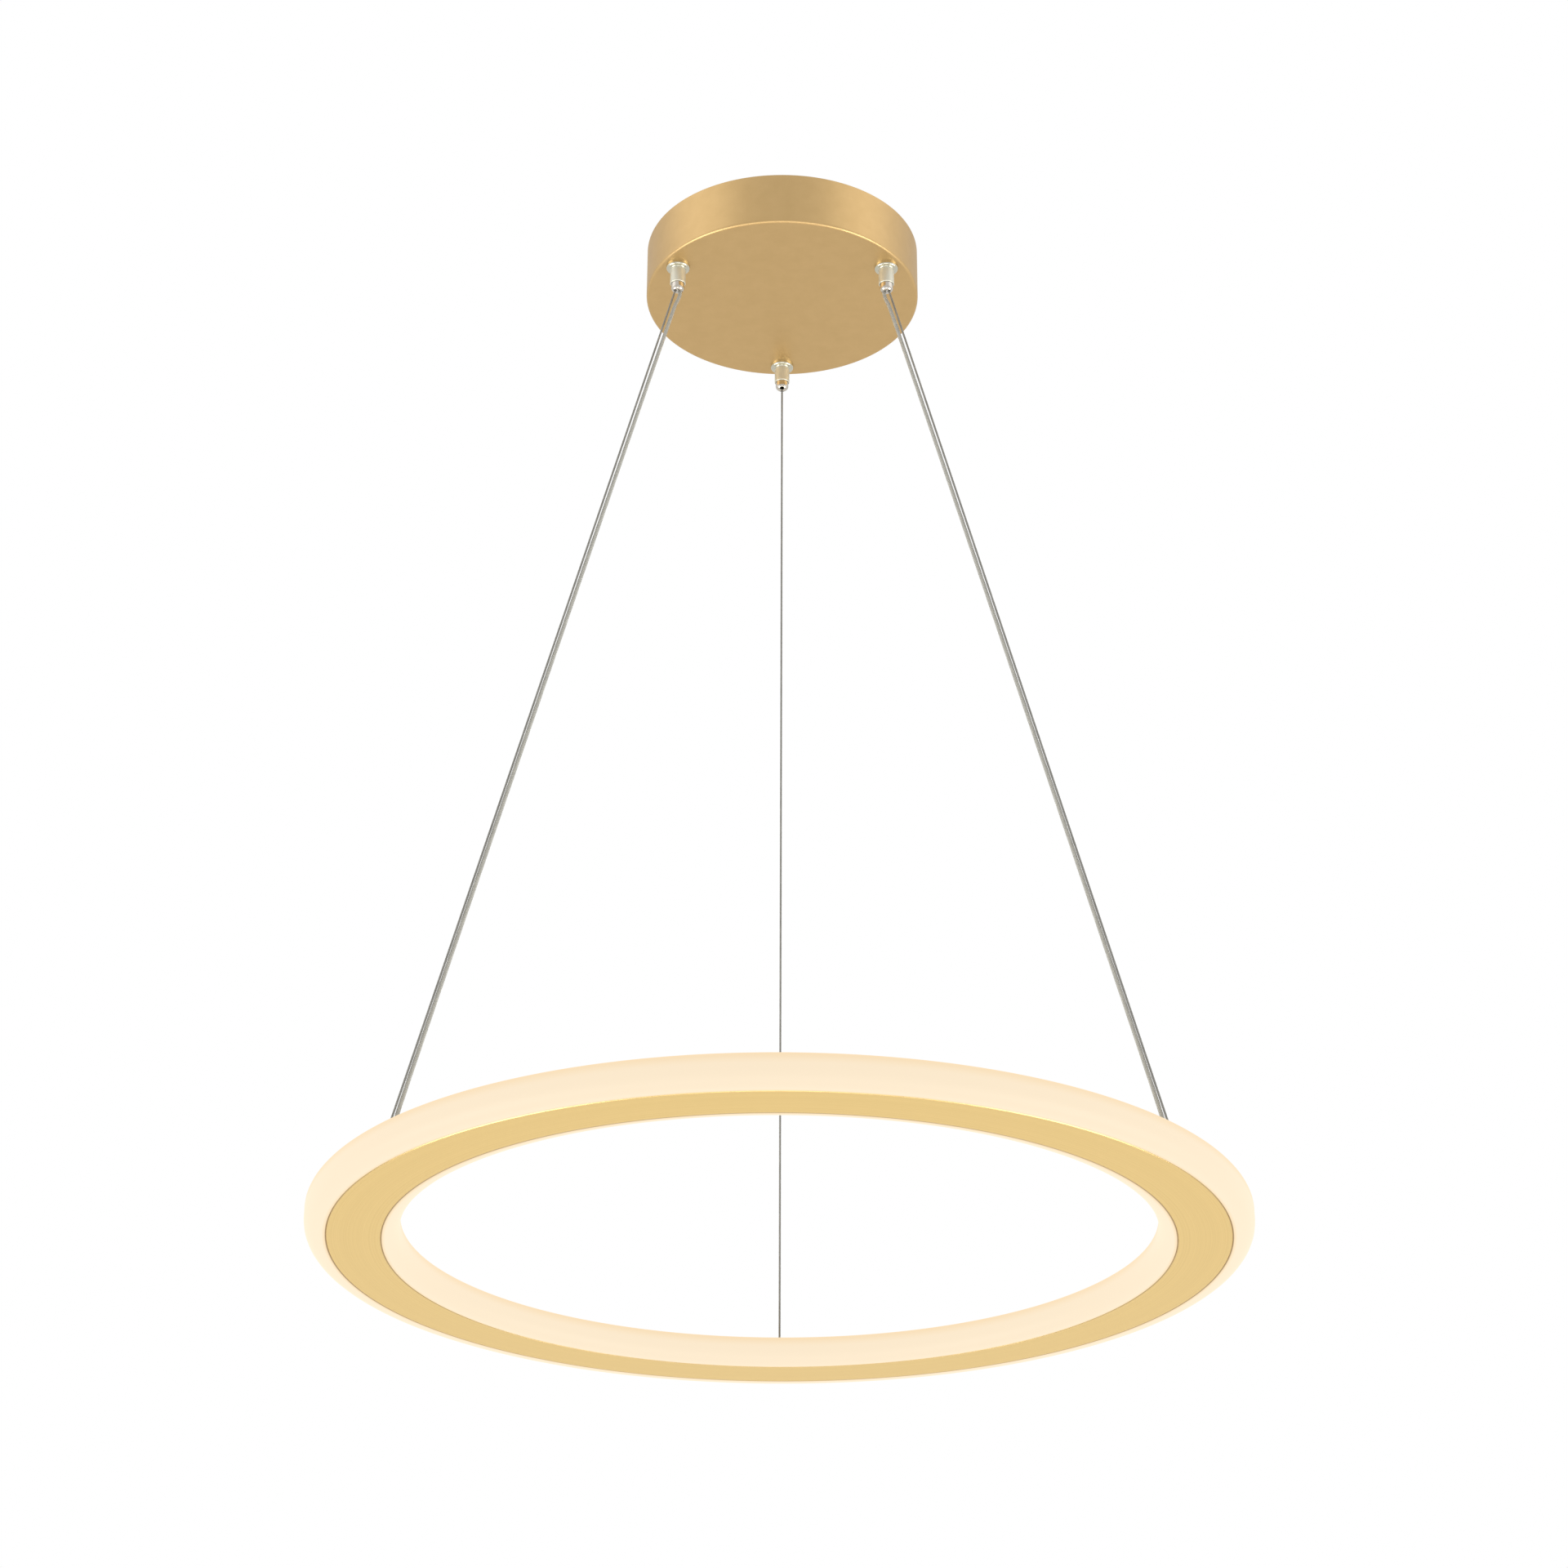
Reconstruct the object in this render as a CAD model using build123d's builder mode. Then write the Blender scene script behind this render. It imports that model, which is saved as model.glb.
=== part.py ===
from build123d import *
import os
from math import cos, hypot, pi, radians, sin, sqrt, tan

os.makedirs("parts", exist_ok=True)

# A ring lamp that hangs from a round canopy by three steel cables. The origin is on the ceiling, at
# the middle of the canopy, and +Z is up, so everything lies at minus Z. All sizes are millimetres.

# ---- Where the three cables stand, in degrees about the lamp's axis ----
sides = {"left": 210, "right": 330, "back": 90}
lead_sides = ("left", "right")

# ---- Canopy ----
canopy_radius = 98.5
canopy_height = 40.0
canopy_wall = 1.2
canopy_floor = 1.5
canopy_edge_round = 1.0

# ---- Ceiling bracket ----
bracket_width = 22.0
bracket_thickness = 2.0
bracket_end_gap = 1.3
bracket_tab_depth = 16.0
slot_spacing = 80.0
slot_length = 20.0
slot_width = 4.5
side_screw_depth = 10.0
side_screw_radius = 2.0
side_screw_length = 9.0
earth_screw_place = (-62.0, 0.0)
earth_screw_radius = 2.0
earth_head_radius = 3.5
earth_head_height = 2.6
earth_screw_below = 7.0

# ---- LED driver, terminal block and the pads that hold them ----
driver_length = 116.0
driver_width = 38.0
driver_height = 21.0
driver_centre_y = 22.0
driver_wall = 1.6
driver_corner = 4.0
driver_lid_thickness = 2.0
driver_screw_inset = 5.0
driver_screw_radius = 1.2
driver_boss_radius = 2.6
board_thickness = 1.6
board_margin = 2.0
board_post_height = 3.0
port_radius = 1.6
port_height = 12.6
mains_port_y = 28.0
mains_port_spacing = 4.2
lead_port_y = (17.0, 9.0)
block_length = 40.0
block_width = 14.0
block_height = 12.0
block_centre_y = 58.0
block_poles = 3
block_pitch = 13.0
block_screw_radius = 1.9
block_screw_depth = 1.0
pad_thickness = 1.0

# The blocks on the driver's board: x, y from the driver's middle, side and height.
board_blocks = ((-34, -6, 11, 9), (-10, 2, 18, 12), (16, -5, 12, 10), (36, 4, 14, 8))

# ---- Cable grippers, all measured from their own upright axis ----
gripper_inset = 12.5
flange_radius = 8.5
flange_thickness = 2.5
flange_round = 1.4
flange_fillet = 0.8
barrel_radius = 5.5
barrel_length = 12.5
barrel_chamfer = 0.4
stem_radius = 4.9
stem_height = 14.0
nose_radius = 4.7
nose_length = 6.0
nose_round = 2.8
sleeve_inside = 3.8
sleeve_stroke = 1.5
sleeve_slack = 0.5
sleeve_gap = 0.2
cable_offset = 2.0
lead_offset = 2.1
cable_bore_gap = 0.35
lead_bore_gap = 0.3
pusher_wall = 0.35
pusher_height = 3.0
ball_radius = 0.4
ball_gap = 0.1
ball_count = 3
chamber_height = 4.0
chamber_spread = 0.25
spring_room_height = 14.0
spring_wire_radius = 0.2
spring_turns = 7
nut_radius = 8.1
nut_height = 3.0

# ---- Cables and leads ----
cable_radius = 0.75
lead_radius = 1.3
cable_tail_depth = 10.0
cable_tail_reach = 28.0
mains_wire_radius = 1.0

# ---- Ring: its height below the canopy and its section ----
drop = 722.5
face_outer = 286.0
face_inner = 251.5
face_thickness = 2.0
face_edge = 0.5
ring_height = 19.0
outer_bulge = 14.0
inner_bulge = 11.5
web_thickness = 2.0
channel_outer = 277.5
channel_inner = 260.0
top_plate_low = 13.0
top_plate_high = 16.0
top_plate_inset = 0.8
rib_width = 1.0
diffuser_wall = 1.5
diffuser_lower_round = 9.0
diffuser_upper_round = 4.0
diffuser_lip = 3.2
diffuser_hook = 1.2
diffuser_tongue = 4.5
cover_screw_count = 6
cover_screw_radius = 1.45
cover_screw_head = 3.0
cover_screw_below = 4.0

# ---- LED strips ----
strip_width = 8.0
strip_thickness = 0.4
strip_low = 3.5
chip_pitch = 25.0
chip_length = 3.5
chip_width = 2.8
chip_height = 0.8

# ---- Where cables and leads meet the ring ----
anchor_inset = 10.2
anchor_flange_radius = 5.0
anchor_flange_height = 1.2
anchor_barrel_radius = 4.0
anchor_height = 6.0
anchor_stud_radius = 3.0
anchor_mouth_radius = 2.6
anchor_throat_radius = 1.5
anchor_socket_radius = 2.25
anchor_socket_top = 3.0
cable_ball_radius = 2.0
lead_entry_gap = 0.5
grommet_radius = 2.9
grommet_flange_radius = 4.0
grommet_flange_height = 1.0
plate_lead_hole = 2.0
connector_start = 13.0
connector_length = 14.0
connector_width = 7.0
connector_height = 7.0
feed_wire_radius = 0.6
feed_wire_spread = 1.75
feed_wire_run = 7.5
feed_hole_reach = 8.0

# ---- Clearances ----
seat_gap = 0.1
thread_gap = 0.05
hole_gap = 0.2
wire_gap = 0.2
body_gap = 0.3

# ---- Levels and places that follow from the sizes above ----
canopy_underside = -canopy_height
floor_top = canopy_underside + canopy_floor
canopy_inside = canopy_radius - canopy_wall
flange_bottom = canopy_underside - flange_thickness
barrel_bottom = flange_bottom - barrel_length
nose_bottom = barrel_bottom - nose_length
stem_top = canopy_underside + stem_height
sleeve_top = barrel_bottom + sleeve_inside
sleeve_room_top = sleeve_top + sleeve_stroke + sleeve_slack
pusher_top = sleeve_top + pusher_height
cable_bore = cable_radius + cable_bore_gap
lead_bore = lead_radius + lead_bore_gap
pusher_radius = cable_bore + pusher_wall
pusher_bore = pusher_radius + sleeve_gap
ball_height = pusher_top + ball_radius + thread_gap
ball_circle = cable_radius + ball_gap + ball_radius
chamber_radius = pusher_bore + ball_gap
spring_room_radius = chamber_radius + chamber_spread
spring_room_low = pusher_top + chamber_height
spring_room_top = pusher_top + spring_room_height
spring_radius = (cable_radius + spring_room_radius) / 2
gripper_radius = canopy_radius - gripper_inset
cable_exit = gripper_radius + cable_offset
lead_exit = gripper_radius - lead_offset
ring_bottom = canopy_underside - drop
ring_top = ring_bottom + ring_height
plate_low = ring_bottom + top_plate_low
plate_top = ring_bottom + top_plate_high
ring_middle = (face_outer + face_inner) / 2
anchor_radius = face_outer - anchor_inset
anchor_top = ring_top + anchor_height
socket_top = ring_top + anchor_socket_top
ball_centre = socket_top - sqrt(cable_ball_radius**2 - anchor_throat_radius**2) - seat_gap
cable_slope = (anchor_radius - cable_exit) / (nose_bottom - ball_centre)
cable_low = anchor_top + body_gap
lead_entry_radius = anchor_radius - anchor_flange_radius - grommet_flange_radius - lead_entry_gap
lead_low = ring_top + grommet_flange_height + body_gap
driver_low = floor_top + pad_thickness + seat_gap
driver_top = driver_low + driver_height
driver_end = driver_length / 2
driver_board_low = driver_low + driver_wall + board_post_height + seat_gap
port_level = driver_low + port_height
block_low = floor_top + pad_thickness + seat_gap
bracket_reach = canopy_inside - bracket_end_gap


def place(angle, outward, sideways, height):
    """A point given by its angle about the lamp, then outward, sideways and up from the axis."""
    turn = radians(angle)
    x = outward * cos(turn) - sideways * sin(turn)
    y = outward * sin(turn) + sideways * cos(turn)
    return Vector(x, y, height)


def level(angle, outward, height):
    """A level plane at a place on the lamp, with x pointing outward."""
    return Plane(origin=place(angle, outward, 0, height), x_dir=place(angle, 1, 0, 0), z_dir=(0, 0, 1))


def upright(angle):
    """The upright plane through the lamp's axis: x points outward and y points up."""
    outward = place(angle, 1, 0, 0)
    return Plane(origin=(0, 0, 0), x_dir=outward, z_dir=outward.cross(Vector(0, 0, 1)))


def keep(piece, label):
    """Label a finished piece and write it to its own STEP file."""
    piece.part.label = label
    export_step(piece.part, f"parts/{label}.step")


def bend_radii(points):
    """The radius of each bend of a route: as large as the two runs beside it allow."""
    radii = []
    for before, corner, after in zip(points, points[1:], points[2:]):
        run_in = corner - before
        run_out = after - corner
        half_turn = radians(run_in.get_angle(run_out)) / 2
        radii.append(0.45 * min(run_in.length, run_out.length) / tan(half_turn))
    return radii


def tube(points, radius, name):
    """A round cord along straight runs joined by arcs. Its bends and length are printed."""
    radii = bend_radii(points)
    with BuildPart() as piece:
        with BuildLine() as route:
            FilletPolyline(*points, radius=radii)
        with BuildSketch(Plane(origin=route.line @ 0, z_dir=route.line % 0)):
            Circle(radius)
        sweep(path=route.line)
    length = route.wire().length
    fill = piece.part.volume / (pi * radius**2 * length)
    print(f"{name}: length {length:.1f}, bends {[round(bend, 1) for bend in radii]}, fill {fill:.4f}")
    return piece


# ---- Canopy cover: a cup, open to the ceiling ----
with BuildPart() as canopy_cover:
    with BuildSketch(Plane.XY.offset(canopy_underside)):
        Circle(canopy_radius)
    extrude(amount=canopy_height)
    fillet(canopy_cover.edges().group_by(Axis.Z)[0], canopy_edge_round)
    with BuildSketch(Plane.XY.offset(floor_top)):
        Circle(canopy_inside)
    extrude(amount=canopy_height, mode=Mode.SUBTRACT)
    for angle in sides.values():
        with BuildSketch(level(angle, gripper_radius, canopy_underside)):
            Circle(stem_radius + hole_gap)
        extrude(amount=canopy_floor, mode=Mode.SUBTRACT)
    with BuildSketch(Plane.YZ):
        with Locations((0, -side_screw_depth)):
            Circle(side_screw_radius + hole_gap)
    extrude(amount=canopy_radius, both=True, mode=Mode.SUBTRACT)
keep(canopy_cover, "canopy_cover")

# ---- Ceiling bracket: a strap with two screw slots and a turned-down tab at each end ----
with BuildPart() as ceiling_bracket:
    with BuildSketch(Plane.XY.offset(-bracket_thickness)):
        Rectangle(2 * bracket_reach, bracket_width)
        with Locations((-slot_spacing / 2, 0), (slot_spacing / 2, 0)):
            SlotOverall(slot_length, slot_width, mode=Mode.SUBTRACT)
        with Locations(earth_screw_place):
            Circle(earth_screw_radius + thread_gap, mode=Mode.SUBTRACT)
    extrude(amount=bracket_thickness)
    tab_middle = bracket_reach - bracket_thickness / 2
    with BuildSketch(Plane.XY.offset(-bracket_tab_depth)):
        with Locations((-tab_middle, 0), (tab_middle, 0)):
            Rectangle(bracket_thickness, bracket_width)
    extrude(amount=bracket_tab_depth)
    with BuildSketch(Plane.YZ):
        with Locations((0, -side_screw_depth)):
            Circle(side_screw_radius + thread_gap)
    extrude(amount=canopy_radius, both=True, mode=Mode.SUBTRACT)
keep(ceiling_bracket, "ceiling_bracket")

# ---- Two headless screws, flush with the canopy's wall, that hold it to the bracket's tabs ----
with BuildPart() as canopy_side_screws:
    screw_end = canopy_radius - hole_gap
    for direction in (-1, 1):
        with BuildSketch(Plane.YZ.offset(direction * screw_end)):
            with Locations((0, -side_screw_depth)):
                Circle(side_screw_radius)
                RegularPolygon(side_screw_radius / 2, 6, mode=Mode.SUBTRACT)
        extrude(amount=-direction * side_screw_radius)
        with BuildSketch(Plane.YZ.offset(direction * (screw_end - side_screw_radius))):
            with Locations((0, -side_screw_depth)):
                Circle(side_screw_radius)
        extrude(amount=-direction * (side_screw_length - side_screw_radius))
keep(canopy_side_screws, "canopy_side_screws")

# ---- Earth screw, from below, in the bracket ----
with BuildPart() as earth_screw:
    with BuildSketch(Plane.XY.offset(-earth_screw_below)):
        with Locations(earth_screw_place):
            Circle(earth_screw_radius)
    extrude(amount=earth_screw_below)
    with BuildSketch(Plane.XY.offset(-bracket_thickness - seat_gap - earth_head_height)):
        with Locations(earth_screw_place):
            Circle(earth_head_radius)
    extrude(amount=earth_head_height)
keep(earth_screw, "earth_screw")

# ---- Adhesive pads under the driver and the terminal block ----
with BuildPart() as adhesive_pads:
    with BuildSketch(Plane.XY.offset(floor_top)):
        with Locations((0, driver_centre_y)):
            Rectangle(driver_length - 2 * driver_corner, driver_width - 2 * driver_corner)
        with Locations((0, block_centre_y)):
            Rectangle(block_length, block_width)
    extrude(amount=pad_thickness)
keep(adhesive_pads, "adhesive_pads")

# ---- LED driver: an open case with screw bosses and board posts, a lid, a board, four screws ----
screw_span_x = driver_length - 2 * driver_screw_inset
screw_span_y = driver_width - 2 * driver_screw_inset
board_length = screw_span_x - 2 * driver_boss_radius - board_margin
board_width = driver_width - 2 * driver_wall - board_margin

with BuildPart() as driver_case:
    with BuildSketch(Plane.XY.offset(driver_low)):
        with Locations((0, driver_centre_y)):
            RectangleRounded(driver_length, driver_width, driver_corner)
    extrude(amount=driver_height)
    with BuildSketch(Plane.XY.offset(driver_low + driver_wall)):
        with Locations((0, driver_centre_y)):
            RectangleRounded(
                driver_length - 2 * driver_wall, driver_width - 2 * driver_wall, driver_corner - driver_wall
            )
    extrude(amount=driver_height, mode=Mode.SUBTRACT)
    with BuildSketch(Plane.XY.offset(driver_low)):
        with Locations((0, driver_centre_y)):
            with GridLocations(screw_span_x, screw_span_y, 2, 2):
                Circle(driver_boss_radius)
    extrude(amount=driver_height)
    with BuildSketch(Plane.XY.offset(driver_low)):
        with Locations((0, driver_centre_y)):
            with GridLocations(board_length / 2, board_width / 2, 2, 2):
                Circle(driver_boss_radius)
    extrude(amount=driver_wall + board_post_height)
    with BuildSketch(Plane.XY.offset(driver_low + driver_wall)):
        with Locations((0, driver_centre_y)):
            with GridLocations(screw_span_x, screw_span_y, 2, 2):
                Circle(driver_screw_radius + thread_gap)
    extrude(amount=driver_height, mode=Mode.SUBTRACT)
    with BuildSketch(Plane.YZ.offset(-driver_end)):
        with Locations([(port_y, port_level) for port_y in lead_port_y]):
            Circle(port_radius)
    extrude(amount=driver_wall, mode=Mode.SUBTRACT)
    with BuildSketch(Plane.YZ.offset(driver_end)):
        with Locations((mains_port_y, port_level), (mains_port_y, port_level - mains_port_spacing)):
            Circle(port_radius)
    extrude(amount=-driver_wall, mode=Mode.SUBTRACT)
keep(driver_case, "driver_case")

with BuildPart() as driver_lid:
    with BuildSketch(Plane.XY.offset(driver_top + seat_gap)):
        with Locations((0, driver_centre_y)):
            RectangleRounded(driver_length, driver_width, driver_corner)
            with GridLocations(screw_span_x, screw_span_y, 2, 2):
                Circle(driver_screw_radius + hole_gap, mode=Mode.SUBTRACT)
    extrude(amount=driver_lid_thickness)
keep(driver_lid, "driver_lid")

with BuildPart() as driver_board:
    with BuildSketch(Plane.XY.offset(driver_board_low)):
        with Locations((0, driver_centre_y)):
            Rectangle(board_length, board_width)
    extrude(amount=board_thickness)
    for along, across, width, height in board_blocks:
        with BuildSketch(Plane.XY.offset(driver_board_low + board_thickness)):
            with Locations((along, driver_centre_y + across)):
                Rectangle(width, width)
        extrude(amount=height)
keep(driver_board, "driver_board")

with BuildPart() as driver_screws:
    screw_depth = driver_height / 2
    lid_top = driver_top + seat_gap + driver_lid_thickness
    with BuildSketch(Plane.XY.offset(lid_top - screw_depth)):
        with Locations((0, driver_centre_y)):
            with GridLocations(screw_span_x, screw_span_y, 2, 2):
                Circle(driver_screw_radius)
    extrude(amount=screw_depth + seat_gap)
    with BuildSketch(Plane.XY.offset(lid_top + seat_gap)):
        with Locations((0, driver_centre_y)):
            with GridLocations(screw_span_x, screw_span_y, 2, 2):
                Circle(2 * driver_screw_radius)
    extrude(amount=driver_screw_radius)
keep(driver_screws, "driver_screws")

# ---- Mains terminal block with its screws sunk in the top ----
block_top = block_low + block_height
pole_places = [(block_pitch * (index - (block_poles - 1) / 2), block_centre_y) for index in range(block_poles)]
with BuildPart() as terminal_block:
    with BuildSketch(Plane.XY.offset(block_low)):
        with Locations((0, block_centre_y)):
            Rectangle(block_length, block_width)
    extrude(amount=block_height)
    with BuildSketch(Plane.XY.offset(block_low + block_height / 2)):
        with Locations(pole_places):
            Circle(block_screw_radius + hole_gap)
    extrude(amount=block_height, mode=Mode.SUBTRACT)
keep(terminal_block, "terminal_block")

with BuildPart() as terminal_screws:
    with BuildSketch(Plane.XY.offset(block_low + block_height / 2 + seat_gap)):
        with Locations(pole_places):
            Circle(block_screw_radius)
    extrude(amount=block_height / 2 - block_screw_depth)
keep(terminal_screws, "terminal_screws")

# ---- Wires inside the canopy: live and neutral to the driver, earth to the bracket ----
wire_start = block_centre_y - block_width / 2 - wire_gap
mains_wires = (
    ("mains_lead_live", pole_places[2][0], port_level - mains_port_spacing),
    ("mains_lead_neutral", pole_places[1][0], port_level),
)
for name, pole_x, height in mains_wires:
    route_points = [
        Vector(pole_x, wire_start, height),
        Vector(pole_x, 46.0, height),
        Vector(61.0, 45.5, height),
        Vector(68.0, 39.0, height),
        Vector(67.0, 30.0, height),
        Vector(driver_end + wire_gap, mains_port_y, height),
    ]
    keep(tube(route_points, mains_wire_radius, name), name)

earth_x = earth_screw_place[0]
earth_route = [
    Vector(pole_places[0][0], wire_start, -31.0),
    Vector(-14.0, 46.0, -31.0),
    Vector(-58.0, 45.0, -26.0),
    Vector(-68.0, 28.0, -12.0),
    Vector(-64.0, 12.0, -5.0),
    Vector(earth_x, earth_head_radius + wire_gap, -bracket_thickness - mains_wire_radius - body_gap),
]
keep(tube(earth_route, mains_wire_radius, "earth_lead"), "earth_lead")


# ---- Cable grippers ----
def make_gripper_body(angle):
    """Flange, barrel and threaded stem, bored for the steel cable and, beside it, the lead."""
    with BuildPart() as body:
        for radius, low, high in (
            (flange_radius, flange_bottom, canopy_underside),
            (barrel_radius, barrel_bottom, flange_bottom),
            (stem_radius, canopy_underside, stem_top),
        ):
            with BuildSketch(level(angle, gripper_radius, low)):
                Circle(radius)
            extrude(amount=high - low)
        rims = body.edges().filter_by(GeomType.CIRCLE).group_by(Axis.Z)
        fillet(rims[1].sort_by(SortBy.RADIUS)[-1], flange_round)
        fillet(rims[1].sort_by(SortBy.RADIUS)[0], flange_fillet)
        chamfer(rims[0], barrel_chamfer)
        for radius, shift, low, high in (
            (nose_radius + sleeve_gap, 0, barrel_bottom, sleeve_room_top),
            (lead_bore, -lead_offset, barrel_bottom, stem_top),
            (pusher_bore, cable_offset, barrel_bottom, pusher_top),
            (spring_room_radius, cable_offset, spring_room_low, spring_room_top),
            (cable_bore, cable_offset, spring_room_top, stem_top),
        ):
            with BuildSketch(level(angle, gripper_radius + shift, low)):
                Circle(radius)
            extrude(amount=high - low, mode=Mode.SUBTRACT)
        with BuildSketch(level(angle, cable_exit, pusher_top)):
            Circle(chamber_radius)
        with BuildSketch(level(angle, cable_exit, spring_room_low)):
            Circle(spring_room_radius)
        loft(mode=Mode.SUBTRACT)
    return body


def make_release_sleeve(angle):
    """The round nose and, inside, the pusher that lifts the balls off the cable."""
    with BuildPart() as sleeve:
        with BuildSketch(level(angle, gripper_radius, nose_bottom)):
            Circle(nose_radius)
        extrude(amount=sleeve_top - nose_bottom)
        fillet(sleeve.edges().group_by(Axis.Z)[0], nose_round)
        with BuildSketch(level(angle, cable_exit, sleeve_top)):
            Circle(pusher_radius)
        extrude(amount=pusher_height)
        for radius, outward in ((cable_bore, cable_exit), (lead_bore, lead_exit)):
            with BuildSketch(level(angle, outward, nose_bottom)):
                Circle(radius)
            extrude(amount=pusher_top - nose_bottom, mode=Mode.SUBTRACT)
    return sleeve


def make_clamp_balls(angle):
    """The balls that wedge between the cone and the cable."""
    with BuildPart(level(angle, cable_exit, ball_height)) as balls:
        with PolarLocations(ball_circle, ball_count):
            Sphere(ball_radius)
    return balls


def make_spring(angle):
    """The coil that presses the balls down into the cone."""
    low = ball_height + ball_radius + spring_wire_radius + seat_gap
    high = spring_room_top - spring_wire_radius - seat_gap
    with BuildPart() as spring:
        with BuildLine() as coil:
            Helix((high - low) / spring_turns, high - low, spring_radius, center=place(angle, cable_exit, 0, low))
        with BuildSketch(Plane(origin=coil.line @ 0, z_dir=coil.line % 0)):
            Circle(spring_wire_radius)
        sweep(path=coil.line, is_frenet=True)
    return spring


def make_suspension_cable(angle):
    """The tight steel cable, from the gripper's nose to the mouth of its anchor on the ring."""
    fall = nose_bottom - cable_low
    direction = place(angle, cable_slope, 0, -1)
    with BuildPart() as cable:
        with BuildSketch(level(angle, cable_exit, nose_bottom)):
            Circle(cable_radius)
        extrude(amount=fall * direction.length, dir=direction)
    return cable


def make_cable_tail(angle, turn):
    """The end of the steel cable that goes up through the gripper and lies in the canopy."""
    points = [
        place(angle, cable_exit, 0, nose_bottom),
        place(angle, cable_exit, 0, -cable_tail_depth),
        place(angle, cable_exit, turn * cable_tail_reach, -cable_tail_depth),
    ]
    return tube(points, cable_radius, "cable tail")


tail_turns = {"left": -1, "right": 1, "back": 1}
for side, angle in sides.items():
    keep(make_gripper_body(angle), f"gripper_body_{side}")
    keep(make_release_sleeve(angle), f"release_sleeve_{side}")
    keep(make_clamp_balls(angle), f"clamp_balls_{side}")
    keep(make_spring(angle), f"gripper_spring_{side}")
    keep(make_suspension_cable(angle), f"suspension_cable_{side}")
    keep(make_cable_tail(angle, tail_turns[side]), f"cable_tail_{side}")

with BuildPart() as gripper_nuts:
    for angle in sides.values():
        with BuildSketch(level(angle, gripper_radius, floor_top)):
            RegularPolygon(nut_radius, 6)
            Circle(stem_radius + thread_gap, mode=Mode.SUBTRACT)
        extrude(amount=nut_height)
keep(gripper_nuts, "gripper_nuts")

# ---- Clear power leads: out of the nose, along the cable, and down into the ring ----
# Each point of the hanging lead is a distance outward from the lamp's axis and a height.
lead_route = (
    (lead_exit, nose_bottom),
    (83.9, -65.0),
    (90.4, -78.0),
    (269.6, -728.0),
    (266.4, -738.0),
    (lead_entry_radius, lead_low),
)
for side in lead_sides:
    name = f"power_lead_{side}"
    hanging = [place(sides[side], outward, 0, height) for outward, height in lead_route]
    keep(tube(hanging, lead_radius, name), name)

# The lead's other end goes up through the gripper and across to the driver.
lead_tail_routes = {
    "left": (
        (-71.2, -33.0, -12.5),
        (-70.0, 0.0, -12.5),
        (-67.0, 14.0, -19.0),
        (-driver_end - wire_gap, lead_port_y[0], port_level),
    ),
    "right": (
        (71.2, -33.0, -12.5),
        (70.0, -14.0, -12.5),
        (58.0, -5.5, -12.5),
        (-58.0, -5.5, -12.5),
        (-66.5, -1.0, -17.0),
        (-66.0, 7.0, -23.0),
        (-driver_end - wire_gap, lead_port_y[1], port_level),
    ),
}
for side in lead_sides:
    name = f"lead_tail_{side}"
    inside = [place(sides[side], lead_exit, 0, nose_bottom), place(sides[side], lead_exit, 0, -19.0)]
    inside += [Vector(point) for point in lead_tail_routes[side]]
    keep(tube(inside, lead_radius, name), name)

# ---- Ring profile: the gold face, two webs that make a channel, and a top plate with two ribs ----
with BuildPart() as ring_profile:
    with BuildSketch(Plane.XZ):
        for inner, outer, low, high in (
            (face_inner, face_outer, ring_bottom, ring_bottom + face_thickness),
            (channel_inner - web_thickness, channel_inner, ring_bottom, plate_top),
            (channel_outer, channel_outer + web_thickness, ring_bottom, plate_top),
            (face_inner + top_plate_inset, face_outer - top_plate_inset, plate_low, plate_top),
            (
                face_inner + top_plate_inset,
                face_inner + top_plate_inset + rib_width,
                plate_low,
                ring_top - diffuser_wall - hole_gap,
            ),
            (
                face_outer - top_plate_inset - rib_width,
                face_outer - top_plate_inset,
                plate_low,
                ring_top - diffuser_wall - hole_gap,
            ),
        ):
            with Locations(((inner + outer) / 2, (low + high) / 2)):
                Rectangle(outer - inner, high - low)
    revolve(axis=Axis.Z)
    chamfer(ring_profile.edges().group_by(Axis.Z)[0], face_edge)
    for angle in sides.values():
        with BuildSketch(level(angle, anchor_radius, plate_low)):
            Circle(anchor_stud_radius + thread_gap)
        extrude(amount=top_plate_high - top_plate_low, mode=Mode.SUBTRACT)
    for side in lead_sides:
        with BuildSketch(level(sides[side], lead_entry_radius, plate_low)):
            Circle(plate_lead_hole)
        extrude(amount=top_plate_high - top_plate_low, mode=Mode.SUBTRACT)
    with BuildSketch(Plane.XY.offset(plate_low)):
        with PolarLocations(ring_middle, cover_screw_count):
            Circle(cover_screw_radius + thread_gap)
    extrude(amount=top_plate_high - top_plate_low, mode=Mode.SUBTRACT)
    feed_level = ring_bottom + face_thickness + connector_height / 2
    feed_turn = connector_start + connector_length + feed_wire_run
    for side in lead_sides:
        feed_plane = Plane(
            origin=place(sides[side], 0, feed_turn, feed_level),
            x_dir=place(sides[side], 0, 1, 0),
            z_dir=place(sides[side], 1, 0, 0),
        )
        with BuildSketch(feed_plane.offset(channel_inner - feed_hole_reach)):
            Circle(feed_wire_radius + hole_gap)
        extrude(amount=channel_outer - channel_inner + 2 * feed_hole_reach, mode=Mode.SUBTRACT)
keep(ring_profile, "ring_profile")


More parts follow.
